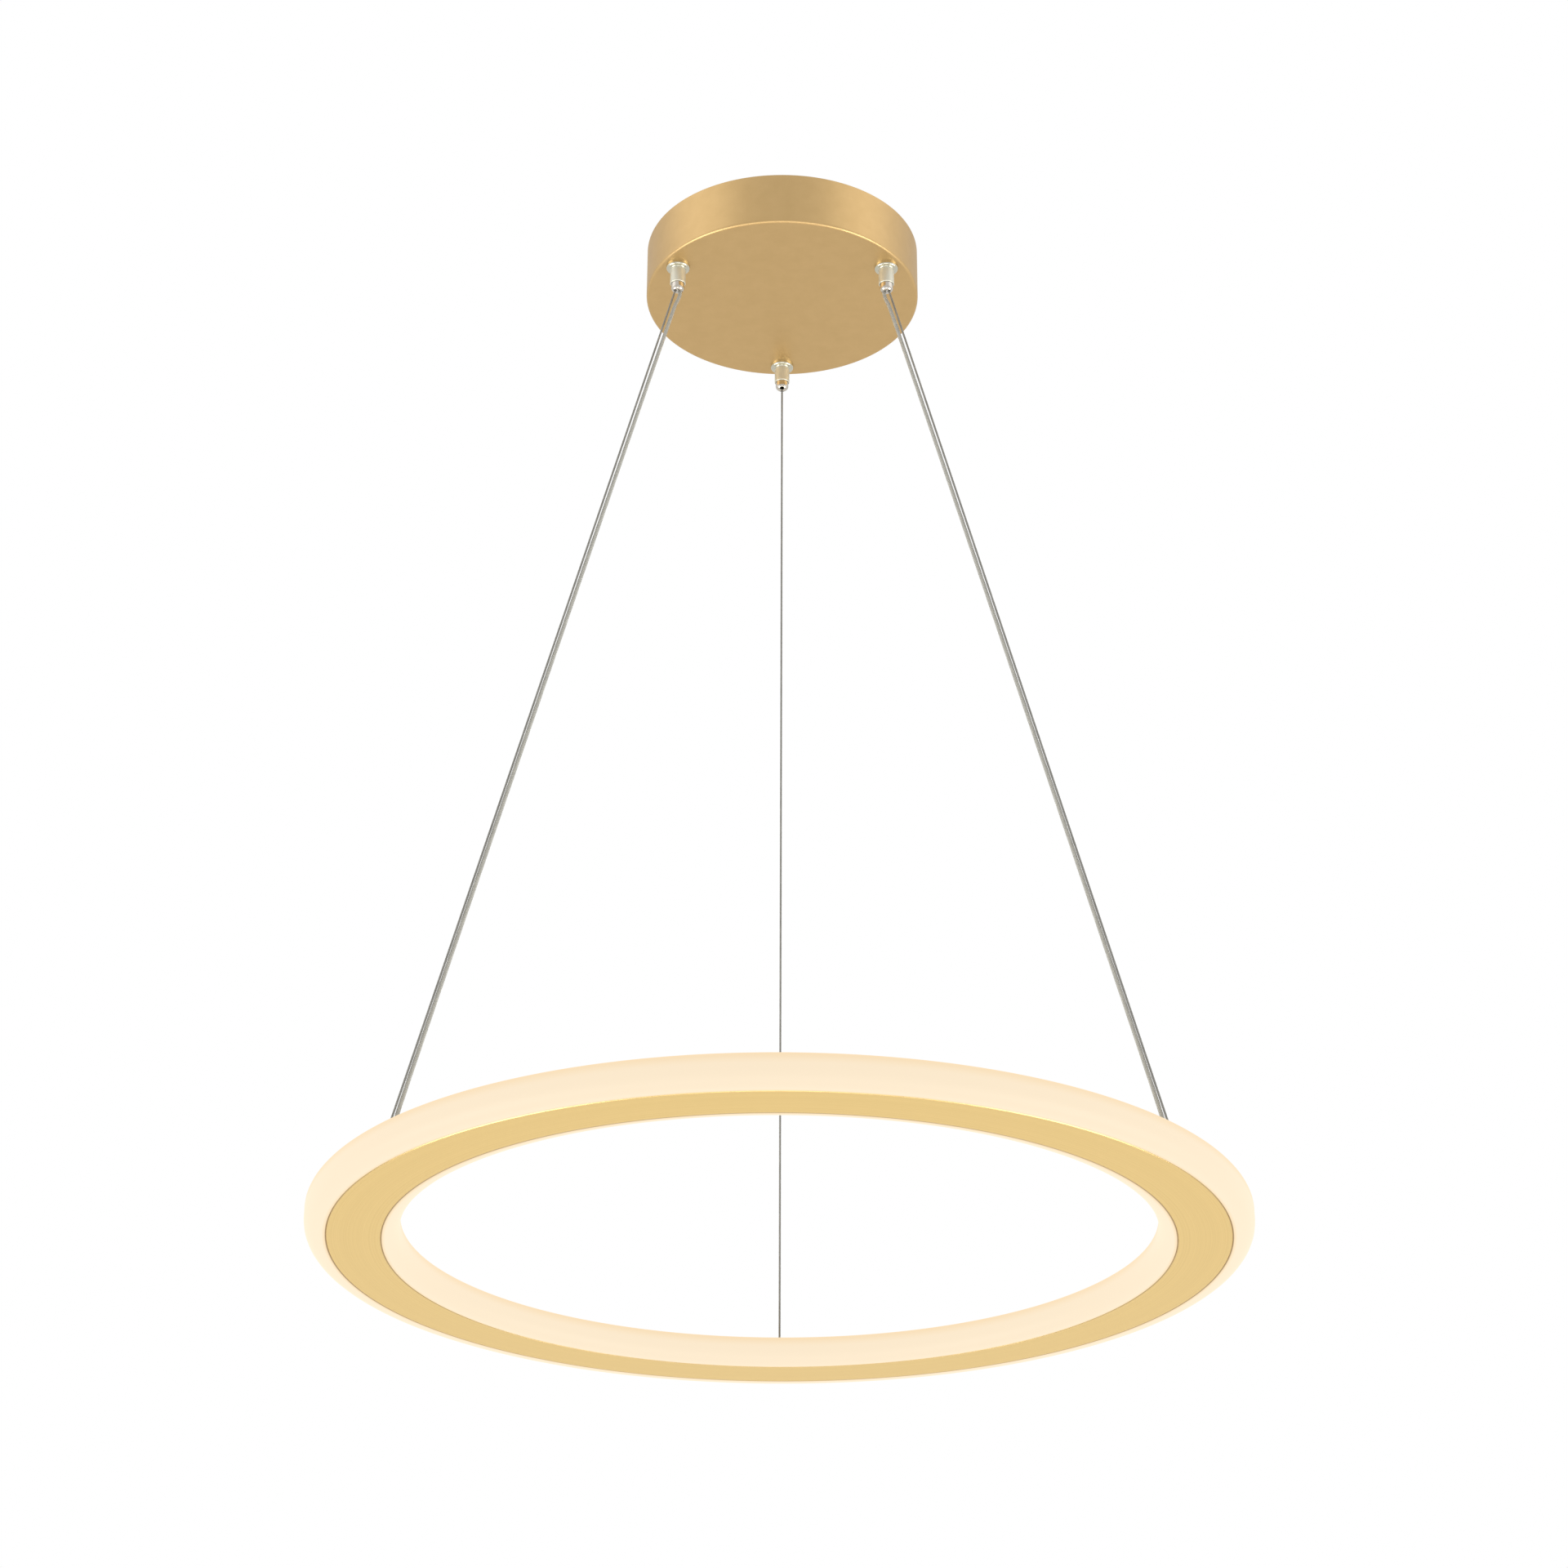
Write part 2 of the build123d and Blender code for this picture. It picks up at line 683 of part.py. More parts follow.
def make_diffuser(face, side, bulge):
    """A milky lens round one edge of the gold face. side is 1 outside the face and -1 inside it."""
    wall = diffuser_wall
    plate = face_thickness + seat_gap

    def at(out, up):
        return (face + side * out, ring_bottom + up)

    low_centre = at(bulge - diffuser_lower_round, diffuser_lower_round)
    high_centre = at(bulge - diffuser_upper_round, ring_height - diffuser_upper_round)

    def on_round(centre, radius, upward):
        step = radius / sqrt(2)
        return (centre[0] + side * step, centre[1] + upward * step)

    with BuildPart() as diffuser:
        with BuildSketch(Plane.XZ):
            with BuildLine():
                Polyline(at(seat_gap, 0), at(bulge - diffuser_lower_round, 0))
                ThreePointArc(
                    at(bulge - diffuser_lower_round, 0),
                    on_round(low_centre, diffuser_lower_round, -1),
                    at(bulge, diffuser_lower_round),
                )
                Line(at(bulge, diffuser_lower_round), at(bulge, ring_height - diffuser_upper_round))
                ThreePointArc(
                    at(bulge, ring_height - diffuser_upper_round),
                    on_round(high_centre, diffuser_upper_round, 1),
                    at(bulge - diffuser_upper_round, ring_height),
                )
                Polyline(
                    at(bulge - diffuser_upper_round, ring_height),
                    at(-diffuser_lip, ring_height),
                    at(-diffuser_lip, top_plate_high + seat_gap),
                    at(-diffuser_lip + diffuser_hook, top_plate_high + seat_gap),
                    at(-diffuser_lip + diffuser_hook, ring_height - wall),
                    at(bulge - diffuser_upper_round, ring_height - wall),
                )
                ThreePointArc(
                    at(bulge - diffuser_upper_round, ring_height - wall),
                    on_round(high_centre, diffuser_upper_round - wall, 1),
                    at(bulge - wall, ring_height - diffuser_upper_round),
                )
                Line(at(bulge - wall, ring_height - diffuser_upper_round), at(bulge - wall, diffuser_lower_round))
                ThreePointArc(
                    at(bulge - wall, diffuser_lower_round),
                    on_round(low_centre, diffuser_lower_round - wall, -1),
                    at(bulge - diffuser_lower_round, wall),
                )
                Polyline(
                    at(bulge - diffuser_lower_round, wall),
                    at(seat_gap + wall, wall),
                    at(seat_gap + wall, plate + wall),
                    at(-diffuser_tongue, plate + wall),
                    at(-diffuser_tongue, plate),
                    at(seat_gap, plate),
                    at(seat_gap, 0),
                )
            make_face()
        revolve(axis=Axis.Z)
    return diffuser


keep(make_diffuser(face_outer, 1, outer_bulge), "outer_diffuser")
keep(make_diffuser(face_inner, -1, inner_bulge), "inner_diffuser")

# ---- Top cover: a flat ring between the diffusers' lips, screwed to the top plate ----
with BuildPart() as ring_top_cover:
    with BuildSketch(Plane.XY.offset(plate_top + seat_gap)):
        Circle(face_outer - diffuser_lip - seat_gap)
        Circle(face_inner + diffuser_lip + seat_gap, mode=Mode.SUBTRACT)
        for angle in sides.values():
            with Locations(place(angle, anchor_radius, 0, 0)):
                Circle(anchor_stud_radius + hole_gap, mode=Mode.SUBTRACT)
        for side in lead_sides:
            with Locations(place(sides[side], lead_entry_radius, 0, 0)):
                Circle(grommet_radius + seat_gap, mode=Mode.SUBTRACT)
    extrude(amount=ring_top - plate_top - seat_gap)
    with Locations(Plane.XY.offset(ring_top)):
        with PolarLocations(ring_middle, cover_screw_count):
            CounterSinkHole(cover_screw_radius + hole_gap, cover_screw_head + hole_gap)
keep(ring_top_cover, "ring_top_cover")

with BuildPart() as cover_screws:
    sink = cover_screw_head - cover_screw_radius
    with BuildSketch(Plane.XY.offset(plate_low - cover_screw_below)):
        with PolarLocations(ring_middle, cover_screw_count):
            Circle(cover_screw_radius)
    extrude(amount=ring_top - plate_low + cover_screw_below - sink)
    with BuildSketch(Plane.XY.offset(ring_top)):
        with PolarLocations(ring_middle, cover_screw_count):
            Circle(cover_screw_head)
    extrude(amount=-sink, taper=45)
keep(cover_screws, "cover_screws")


# ---- LED strips on the outer faces of the two webs, and their chips ----
def make_strip(radius, side):
    """A flexible board laid round a web, facing outward (1) or inward (-1)."""
    near = radius + side * thread_gap
    far = near + side * strip_thickness
    with BuildPart() as strip:
        with BuildSketch(Plane.XY.offset(ring_bottom + strip_low)):
            Circle(max(near, far))
            Circle(min(near, far), mode=Mode.SUBTRACT)
        extrude(amount=strip_width)
    return strip


def make_chips(radius, side):
    """Evenly spaced chips on the lit face of a strip."""
    start = radius + side * (2 * thread_gap + strip_thickness)
    middle = start + side * chip_height / 2
    count = round(2 * pi * radius / chip_pitch)
    chip_low = ring_bottom + strip_low + (strip_width - chip_width) / 2
    with BuildPart() as chips:
        with BuildSketch(Plane.XY.offset(chip_low)):
            with PolarLocations(middle, count):
                Rectangle(chip_height, chip_length)
        extrude(amount=chip_width)
    return chips


outer_strip_face = channel_outer + web_thickness
inner_strip_face = channel_inner - web_thickness
keep(make_strip(outer_strip_face, 1), "led_strip_outer")
keep(make_strip(inner_strip_face, -1), "led_strip_inner")
keep(make_chips(outer_strip_face, 1), "led_chips_outer")
keep(make_chips(inner_strip_face, -1), "led_chips_inner")


# ---- Cable anchors: turned fittings screwed through the cover into the top plate ----
def make_anchor(angle):
    """A low barrel with a wide mouth, a throat and a socket for the cable's ball end."""
    axis_point = place(angle, anchor_radius, 0, 0)
    outline = (
        (anchor_socket_radius, plate_low + seat_gap),
        (anchor_stud_radius, plate_low + seat_gap),
        (anchor_stud_radius, ring_top + seat_gap),
        (anchor_flange_radius, ring_top + seat_gap),
        (anchor_flange_radius, ring_top + seat_gap + anchor_flange_height),
        (anchor_barrel_radius, ring_top + seat_gap + anchor_flange_height),
        (anchor_barrel_radius, anchor_top),
        (anchor_mouth_radius, anchor_top),
        (anchor_throat_radius, socket_top + seat_gap),
        (anchor_throat_radius, socket_top),
        (anchor_socket_radius, socket_top),
    )
    with BuildPart() as anchor:
        with BuildSketch(upright(angle)):
            with BuildLine():
                Polyline(*[(anchor_radius + radius, height) for radius, height in outline], close=True)
            make_face()
        revolve(axis=Axis(axis_point, (0, 0, 1)))
    return anchor


for side, angle in sides.items():
    keep(make_anchor(angle), f"cable_anchor_{side}")

with BuildPart() as cable_ends:
    for angle in sides.values():
        with Locations(place(angle, anchor_radius, 0, ball_centre)):
            Sphere(cable_ball_radius)
        with BuildSketch(level(angle, anchor_radius, ball_centre)):
            Circle(cable_radius)
        extrude(
            amount=(anchor_top - ball_centre) * hypot(1, cable_slope),
            dir=place(angle, -cable_slope, 0, 1),
        )
keep(cable_ends, "cable_ends")

# ---- Where the leads enter: grommets, the lead ends in the channel, connectors and feed wires ----
# The lead's end drops through the plate, then turns along the channel: outward, sideways, height.
lead_end_turn = (
    (lead_entry_radius, 0, feed_level + 1.0),
    (267.0, 4.5, feed_level),
    (ring_middle, 8.0, feed_level),
    (ring_middle, connector_start - wire_gap, feed_level),
)

with BuildPart() as lead_grommets:
    for side in lead_sides:
        with BuildSketch(level(sides[side], lead_entry_radius, plate_top + seat_gap)):
            Circle(grommet_radius)
        extrude(amount=ring_top - plate_top)
        with BuildSketch(level(sides[side], lead_entry_radius, ring_top + thread_gap)):
            Circle(grommet_flange_radius)
        extrude(amount=grommet_flange_height - thread_gap)
        with BuildSketch(level(sides[side], lead_entry_radius, plate_top)):
            Circle(lead_radius + seat_gap)
        extrude(amount=2 * ring_height, mode=Mode.SUBTRACT)
keep(lead_grommets, "lead_grommets")

for side in lead_sides:
    angle = sides[side]
    name = f"lead_end_{side}"
    lead_end_route = [place(angle, lead_entry_radius, 0, ring_top + grommet_flange_height)]
    lead_end_route += [place(angle, *point) for point in lead_end_turn]
    keep(tube(lead_end_route, lead_radius, name), name)
    with BuildPart() as connector:
        with BuildSketch(level(angle, 0, ring_bottom + face_thickness + seat_gap)):
            with Locations((ring_middle, connector_start + connector_length / 2)):
                Rectangle(connector_width, connector_length)
        extrude(amount=connector_height)
    keep(connector, f"strip_connector_{side}")


def make_feed_wire(angle, web_face, direction):
    """A thin wire from the connector through one web to the back of its strip."""
    start = ring_middle + direction * feed_wire_spread
    wall_reach = sqrt(web_face**2 - feed_turn**2)
    points = [
        place(angle, start, connector_start + connector_length + seat_gap, feed_level),
        place(angle, start, feed_turn, feed_level),
        place(angle, wall_reach, feed_turn, feed_level),
    ]
    return tube(points, feed_wire_radius, "feed wire")


for side in lead_sides:
    outer_feed = make_feed_wire(sides[side], outer_strip_face, 1)
    inner_feed = make_feed_wire(sides[side], inner_strip_face, -1)
    with BuildPart() as feed_wires:
        add(outer_feed.part)
        add(inner_feed.part)
    keep(feed_wires, f"feed_wires_{side}")

print(f"free cable length {(nose_bottom - cable_low) * hypot(1, cable_slope):.1f}")
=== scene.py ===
# %% [markdown]
# # A ring lamp on three steel cables
# The lamp hangs from a round canopy on the ceiling. Its CAD model is loaded first and stays as it
# is: it says where every piece sits. This lesson then gives each piece its real finish, and builds
# what plain solids can't show: the twisted cables, the clear leads and the soft, lit diffusers.

from math import cos, pi, radians, sin

import bmesh
import bpy
from mathutils import Matrix, Vector


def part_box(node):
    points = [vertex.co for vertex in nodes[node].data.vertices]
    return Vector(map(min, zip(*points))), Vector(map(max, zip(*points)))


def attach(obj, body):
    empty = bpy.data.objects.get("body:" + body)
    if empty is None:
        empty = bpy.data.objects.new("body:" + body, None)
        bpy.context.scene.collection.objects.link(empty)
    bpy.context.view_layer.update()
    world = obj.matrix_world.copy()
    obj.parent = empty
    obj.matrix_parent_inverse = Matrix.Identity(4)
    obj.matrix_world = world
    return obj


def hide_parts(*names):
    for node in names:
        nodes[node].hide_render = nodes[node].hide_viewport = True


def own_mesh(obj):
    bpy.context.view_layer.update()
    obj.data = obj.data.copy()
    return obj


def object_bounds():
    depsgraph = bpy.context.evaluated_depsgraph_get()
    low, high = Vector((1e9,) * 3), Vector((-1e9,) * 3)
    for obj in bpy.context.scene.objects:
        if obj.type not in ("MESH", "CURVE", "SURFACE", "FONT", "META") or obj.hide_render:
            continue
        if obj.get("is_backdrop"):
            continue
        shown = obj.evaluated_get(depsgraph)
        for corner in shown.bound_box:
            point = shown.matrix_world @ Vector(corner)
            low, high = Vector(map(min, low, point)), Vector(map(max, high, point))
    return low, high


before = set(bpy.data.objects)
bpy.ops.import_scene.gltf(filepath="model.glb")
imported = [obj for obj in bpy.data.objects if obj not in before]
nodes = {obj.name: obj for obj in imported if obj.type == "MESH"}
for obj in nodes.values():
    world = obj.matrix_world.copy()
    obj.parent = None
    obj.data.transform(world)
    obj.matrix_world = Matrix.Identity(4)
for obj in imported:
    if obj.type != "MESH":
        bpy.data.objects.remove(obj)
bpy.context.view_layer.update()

# %% [markdown]
# ## The camera
# The photograph was taken from below, with a long lens. A long lens keeps the ring's near and far
# sides almost equally wide. The place, the tilt and the lens come from fitting the ring's edges.
# The tiny roll is in the photograph too.

# %% Camera from below, looking up
camera_place = (0.0022, -2.0847, -1.4532)
camera_rise = 26.12
camera_roll = 0.14
lens_mm = 78.75
camera_data = bpy.data.cameras.new("camera")
camera_data.lens = lens_mm
camera_data.sensor_width = 36.0
camera_data.clip_end = 50.0
camera = bpy.data.objects.new("camera", camera_data)
tilt = Matrix.Rotation(radians(90.0 + camera_rise), 4, "X")
roll = Matrix.Rotation(radians(camera_roll), 4, "Z")
camera.matrix_world = Matrix.Translation(camera_place) @ tilt @ roll
bpy.context.scene.collection.objects.link(camera)
bpy.context.scene.camera = camera
print("camera height below the ceiling:", round(-camera.location.z, 3), "m")

# %% [markdown]
# ## Two helpers for every finish
# Colours are read off as sRGB hex values, as on a paint chart. Blender's shaders work with linear
# light, so one function turns each hex value to linear. A second small function adds a node to any
# tree, sets what it is given, and links a socket where it is given one.


# %% Colour and node helpers
def linear(hex_colour, alpha=1.0):
    """An sRGB hex colour as linear red, green, blue and alpha."""
    parts = [int(hex_colour[i : i + 2], 16) / 255 for i in (1, 3, 5)]
    return [p / 12.92 if p <= 0.04045 else ((p + 0.055) / 1.055) ** 2.4 for p in parts] + [alpha]


def add_node(tree, kind, settings=(), sockets=()):
    """Add a node, set its settings, and fill or link its input sockets."""
    node = tree.nodes.new(kind)
    for name, value in dict(settings).items():
        setattr(node, name, value)
    for name, value in dict(sockets).items():
        if isinstance(value, bpy.types.NodeSocket):
            tree.links.new(value, node.inputs[name])
        else:
            node.inputs[name].default_value = value
    return node


print("ring gold as linear:", [round(v, 3) for v in linear("#fbd98c")])

# %% [markdown]
# ## The studio
# The world is a white studio that is a little darker behind the photographer, and high up ahead of
# them, so that polished and satin metal has something to show. The camera itself sees plain white.
# Two soft boxes stand at the sides: they make the two pale bands on the canopy's wall. Three more
# stand low: rounded edges catch them, which draws the bright line round the canopy's rim. The floor
# is far below.

# %% World, soft boxes and floor
world = bpy.data.worlds.new("white studio")
bpy.context.scene.world = world
world.use_nodes = True
tree = world.node_tree
tree.nodes.clear()
direction = add_node(tree, "ShaderNodeTexCoord").outputs["Generated"]
parts = add_node(tree, "ShaderNodeSeparateXYZ", sockets={0: direction})
behind = add_node(
    tree,
    "ShaderNodeMapRange",
    {"interpolation_type": "SMOOTHSTEP"},
    {"Value": parts.outputs["Y"], "From Min": -1.0, "From Max": -0.2, "To Min": 0.72, "To Max": 0.95},
)
ahead = add_node(
    tree,
    "ShaderNodeMapRange",
    {"interpolation_type": "SMOOTHSTEP"},
    {"Value": parts.outputs["Y"], "From Min": 0.1, "From Max": 0.9, "To Min": 1.0, "To Max": 0.66},
)
upward = add_node(
    tree,
    "ShaderNodeMapRange",
    {"interpolation_type": "SMOOTHSTEP"},
    {"Value": parts.outputs["Z"], "From Min": 0.0, "From Max": 0.3},
)
ceiling = add_node(
    tree,
    "ShaderNodeMix",
    {"data_type": "FLOAT"},
    {0: upward.outputs["Result"], 2: 1.0, 3: ahead.outputs["Result"]},
)
seen = add_node(
    tree, "ShaderNodeMath", {"operation": "MULTIPLY"}, {0: behind.outputs["Result"], 1: ceiling.outputs[0]}
)
path = add_node(tree, "ShaderNodeLightPath")
strength = add_node(
    tree,
    "ShaderNodeMix",
    {"data_type": "FLOAT"},
    {0: path.outputs["Is Camera Ray"], 2: seen.outputs[0], 3: 1.0},
)
sky = add_node(
    tree, "ShaderNodeBackground", sockets={"Color": linear("#ffffff"), "Strength": strength.outputs[0]}
)
add_node(tree, "ShaderNodeOutputWorld", sockets={"Surface": sky.outputs[0]})


upper_lamp = (0, 0, -0.1)


def add_soft_box(name, place, size, power):
    """A square studio light that points at the middle of the lamp's upper part."""
    data = bpy.data.lights.new(name, "AREA")
    data.size = size
    data.energy = power
    box = bpy.data.objects.new(name, data)
    box.location = place
    box.rotation_euler = (Vector(upper_lamp) - Vector(place)).to_track_quat("-Z", "Y").to_euler()
    bpy.context.scene.collection.objects.link(box)


for side, reach in (("left", -1), ("right", 1)):
    add_soft_box(f"soft box {side}", (reach * 2.5, -0.95, 1.2), 2.4, 8.0)
    add_soft_box(f"low soft box {side}", (reach * 1.9, -0.35, -2.2), 1.6, 30.0)
add_soft_box("low front soft box", (0, -1.3, -2.7), 1.4, 10.0)

floor_reach, floor_height = 15, -3
floor_sides = ((-1, -1), (1, -1), (1, 1), (-1, 1))
floor_corners = [(x * floor_reach, y * floor_reach, floor_height) for x, y in floor_sides]
floor_mesh = bpy.data.meshes.new("floor")
floor_mesh.from_pydata(floor_corners, [], [(0, 1, 2, 3)])
floor = bpy.data.objects.new("floor", floor_mesh)
bpy.context.scene.collection.objects.link(floor)
plaster = bpy.data.materials.new("pale floor")
plaster.use_nodes = True
plaster.node_tree.nodes["Principled BSDF"].inputs["Base Color"].default_value = linear("#f4f3f0")
plaster.node_tree.nodes["Principled BSDF"].inputs["Roughness"].default_value = 0.9
floor_mesh.materials.append(plaster)
floor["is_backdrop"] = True
bpy.context.scene.view_settings.view_transform = "Standard"

# %% [markdown]
# ## A start for each material
# Every finish starts from the same surface shader, with its real name. Sizes of grain and brushing
# are given in millimetres: a noise texture on Object coordinates, which are metres here, has about
# one blotch per unit at scale 1, so a grain of 2 mm needs scale 500.


# %% Material helpers
def start_material(name, colour, metallic, roughness, ior=1.45):
    """A new material with plain starting values. Returns it, its tree and its surface shader."""
    material = bpy.data.materials.new(name)
    material.use_nodes = True
    tree = material.node_tree
    shader = tree.nodes["Principled BSDF"]
    shader.inputs["Base Color"].default_value = linear(colour)
    shader.inputs["Metallic"].default_value = metallic
    shader.inputs["Roughness"].default_value = roughness
    if metallic < 0.5:
        shader.inputs["IOR"].default_value = ior
    return material, tree, shader


def grain(tree, size_mm, detail=2.0, vector=None):
    """Noise whose blotches are about size_mm wide. Returns the value socket."""
    if vector is None:
        vector = add_node(tree, "ShaderNodeTexCoord").outputs["Object"]
    noise = add_node(
        tree, "ShaderNodeTexNoise", sockets={"Vector": vector, "Scale": 1000 / size_mm, "Detail": detail}
    )
    return noise.outputs["Fac"]


def spread(tree, value, low, high):
    """Map a 0 to 1 value to low to high."""
    return add_node(
        tree, "ShaderNodeMapRange", sockets={"Value": value, "To Min": low, "To Max": high}
    ).outputs["Result"]


def tint(tree, value, dark, light, low=0.3, high=0.7):
    """Mix two hex colours by a value. Returns the colour socket."""
    ramp = add_node(tree, "ShaderNodeValToRGB", sockets={"Fac": value})
    ramp.color_ramp.elements[0].position = low
    ramp.color_ramp.elements[0].color = linear(dark)
    ramp.color_ramp.elements[1].position = high
    ramp.color_ramp.elements[1].color = linear(light)
    return ramp.outputs["Color"]


def add_bump(tree, shader, height, depth_mm, strength=1.0):
    """Raise and lower the surface by a height value, depth_mm deep."""
    bump = add_node(
        tree,
        "ShaderNodeBump",
        sockets={"Height": height, "Distance": depth_mm / 1000, "Strength": strength},
    )
    tree.links.new(bump.outputs["Normal"], shader.inputs["Normal"])


def turned(tree, centre_x=0.0, centre_y=0.0):
    """A vector that changes only with distance from an upright axis and with height."""
    place = add_node(tree, "ShaderNodeTexCoord").outputs["Object"]
    moved = add_node(
        tree,
        "ShaderNodeVectorMath",
        {"operation": "SUBTRACT"},
        {0: place, 1: (centre_x, centre_y, 0.0)},
    )
    parts = add_node(tree, "ShaderNodeSeparateXYZ", sockets={0: moved.outputs[0]})
    flat = add_node(
        tree, "ShaderNodeCombineXYZ", sockets={"X": parts.outputs["X"], "Y": parts.outputs["Y"]}
    )
    reach = add_node(tree, "ShaderNodeVectorMath", {"operation": "LENGTH"}, {0: flat.outputs[0]})
    return add_node(
        tree, "ShaderNodeCombineXYZ", sockets={"X": reach.outputs["Value"], "Z": parts.outputs["Z"]}
    ).outputs[0]


print("helpers ready: grain, spread, tint, bump and turned lines")

# %% [markdown]
# ## Gold finishes
# The canopy is spun from sheet steel and sprayed with a satin gold lacquer: darker, a little
# mottled, with very faint rings left by spinning. The ring is an aluminium extrusion, rolled round
# and anodised pale gold: it is lighter, and has fine lines that run along the ring. Its cut edges,
# half a millimetre wide, are duller than its face.

# %% Satin gold lacquer and pale gold anodising
canopy_gold, tree, shader = start_material("satin gold lacquer on spun steel", "#d1b07b", 1.0, 0.36)
mottle = grain(tree, 9.0, 3.0)
tree.links.new(tint(tree, mottle, "#cfae79", "#d3b27d"), shader.inputs["Base Color"])
spun_rings = grain(tree, 0.8, 1.0, turned(tree))
tree.links.new(spread(tree, spun_rings, 0.38, 0.46), shader.inputs["Roughness"])
add_bump(tree, shader, grain(tree, 1.2), 0.012, 0.35)

face_inner_radius = 0.2515
face_outer_radius = 0.286
face_middle = (face_inner_radius + face_outer_radius) / 2
half_face = (face_outer_radius - face_inner_radius) / 2
cut_edge_start = half_face - 0.0006
cut_edge_full = half_face - 0.00045

ring_gold, tree, shader = start_material("pale gold anodised aluminium", "#fbd98c", 1.0, 0.34)
around = turned(tree)
lines = grain(tree, 0.7, 2.0, around)
parts = add_node(tree, "ShaderNodeSeparateXYZ", sockets={0: around})
offset = add_node(
    tree, "ShaderNodeMath", {"operation": "SUBTRACT"}, {0: parts.outputs["X"], 1: face_middle}
)
away = add_node(tree, "ShaderNodeMath", {"operation": "ABSOLUTE"}, {0: offset.outputs[0]})
cut_edge = add_node(
    tree,
    "ShaderNodeMapRange",
    sockets={"Value": away.outputs[0], "From Min": cut_edge_start, "From Max": cut_edge_full},
)
gold_tone = add_node(
    tree,
    "ShaderNodeMix",
    {"data_type": "RGBA"},
    {
        0: cut_edge.outputs["Result"],
        6: tint(tree, lines, "#f8d586", "#fedd92"),
        7: linear("#d0b37c"),
    },
)
tree.links.new(gold_tone.outputs[2], shader.inputs["Base Color"])
tree.links.new(spread(tree, lines, 0.28, 0.42), shader.inputs["Roughness"])
add_bump(tree, shader, lines, 0.01, 0.4)
print("golds:", canopy_gold.name, "/", ring_gold.name)

# %% [markdown]
# ## The lit diffuser
# The lens is milky silicone, pressed over the edge of the profile and lit from inside. It glows
# almost evenly. Next to the gold and along its upper edge it is deeper in colour, because there
# the light has crossed more silicone. The glow is an emission that follows height and radius.


# %% Milky silicone, lit from inside
ring_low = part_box("ring_profile")[0].z
face_glow_reach = 0.0025
top_glow_start = ring_low + 0.011
top_glow_full = ring_low + 0.019


def make_lit_silicone():
    """Warm emission, yellower near the gold face and the upper edge, dim where they touch."""
    material, tree, shader = start_material("milky silicone lit from inside", "#38352f", 0.0, 0.5, 1.41)
    parts = add_node(tree, "ShaderNodeSeparateXYZ", sockets={0: turned(tree)})
    offset = add_node(
        tree, "ShaderNodeMath", {"operation": "SUBTRACT"}, {0: parts.outputs["X"], 1: face_middle}
    )
    away = add_node(tree, "ShaderNodeMath", {"operation": "ABSOLUTE"}, {0: offset.outputs[0]})
    near_face = add_node(
        tree,
        "ShaderNodeMapRange",
        sockets={
            "Value": away.outputs[0],
            "From Min": half_face,
            "From Max": half_face + face_glow_reach,
            "To Min": 1.0,
            "To Max": 0.0,
        },
    )
    near_top = add_node(
        tree,
        "ShaderNodeMapRange",
        {"interpolation_type": "SMOOTHSTEP"},
        {
            "Value": parts.outputs["Z"],
            "From Min": top_glow_start,
            "From Max": top_glow_full,
            "To Max": 0.7,
        },
    )
    edge = add_node(
        tree,
        "ShaderNodeMath",
        {"operation": "MAXIMUM"},
        {0: near_face.outputs["Result"], 1: near_top.outputs["Result"]},
    )
    glow = tint(tree, edge.outputs[0], "#fbe8cb", "#f8ddb4", 0.0, 0.7)
    shade = tint(tree, near_face.outputs["Result"], "#ffffff", "#8a7a60", 0.7, 1.0)
    lit = add_node(
        tree, "ShaderNodeMix", {"data_type": "RGBA", "blend_type": "MULTIPLY"}, {0: 1.0, 6: glow, 7: shade}
    )
    tree.links.new(lit.outputs[2], shader.inputs["Emission Color"])
    shader.inputs["Emission Strength"].default_value = 0.95
    shader.inputs["Specular IOR Level"].default_value = 0.25
    add_bump(tree, shader, grain(tree, 0.6), 0.005, 0.2)
    return material


lit_silicone = make_lit_silicone()
print("ring underside at", round(ring_low * 1000, 1), "mm")

# %% [markdown]
# ## Bright and plain metals
# The grippers and anchors are turned brass with bright nickel: a warm, sharp mirror. Only the
# barrel of each gripper, below its flange, is satin. The cable is stainless wire, the bracket and
# screws are zinc-plated steel with a faint crystal pattern, and the terminal and earth screws are
# plain turned brass.

# %% Nickel, stainless wire, zinc and brass
nickel, tree, shader = start_material("bright nickel plating", "#d2cbc0", 1.0, 0.12)
tree.links.new(spread(tree, grain(tree, 2.5), 0.08, 0.16), shader.inputs["Roughness"])

flange_bottom = -0.0425
satin_nickel, tree, shader = start_material("satin nickel barrel, bright flange", "#d3d0bf", 1.0, 0.3)
parts = add_node(tree, "ShaderNodeSeparateXYZ", sockets={0: turned(tree)})
above = add_node(
    tree,
    "ShaderNodeMapRange",
    sockets={
        "Value": parts.outputs["Z"],
        "From Min": flange_bottom - 0.0012,
        "From Max": flange_bottom - 0.0002,
    },
)
finish = add_node(
    tree, "ShaderNodeMapRange", sockets={"Value": above.outputs["Result"], "To Min": 0.4, "To Max": 0.13}
)
tree.links.new(finish.outputs["Result"], shader.inputs["Roughness"])
tree.links.new(spread(tree, above.outputs["Result"], 0.4, 1.0), shader.inputs["Metallic"])
add_bump(tree, shader, grain(tree, 0.35, 2.0), 0.004, 0.4)

wire_steel, tree, shader = start_material("drawn stainless wire", "#9c9a94", 1.0, 0.45)
tree.links.new(tint(tree, grain(tree, 8.0), "#94928c", "#a2a09a"), shader.inputs["Base Color"])

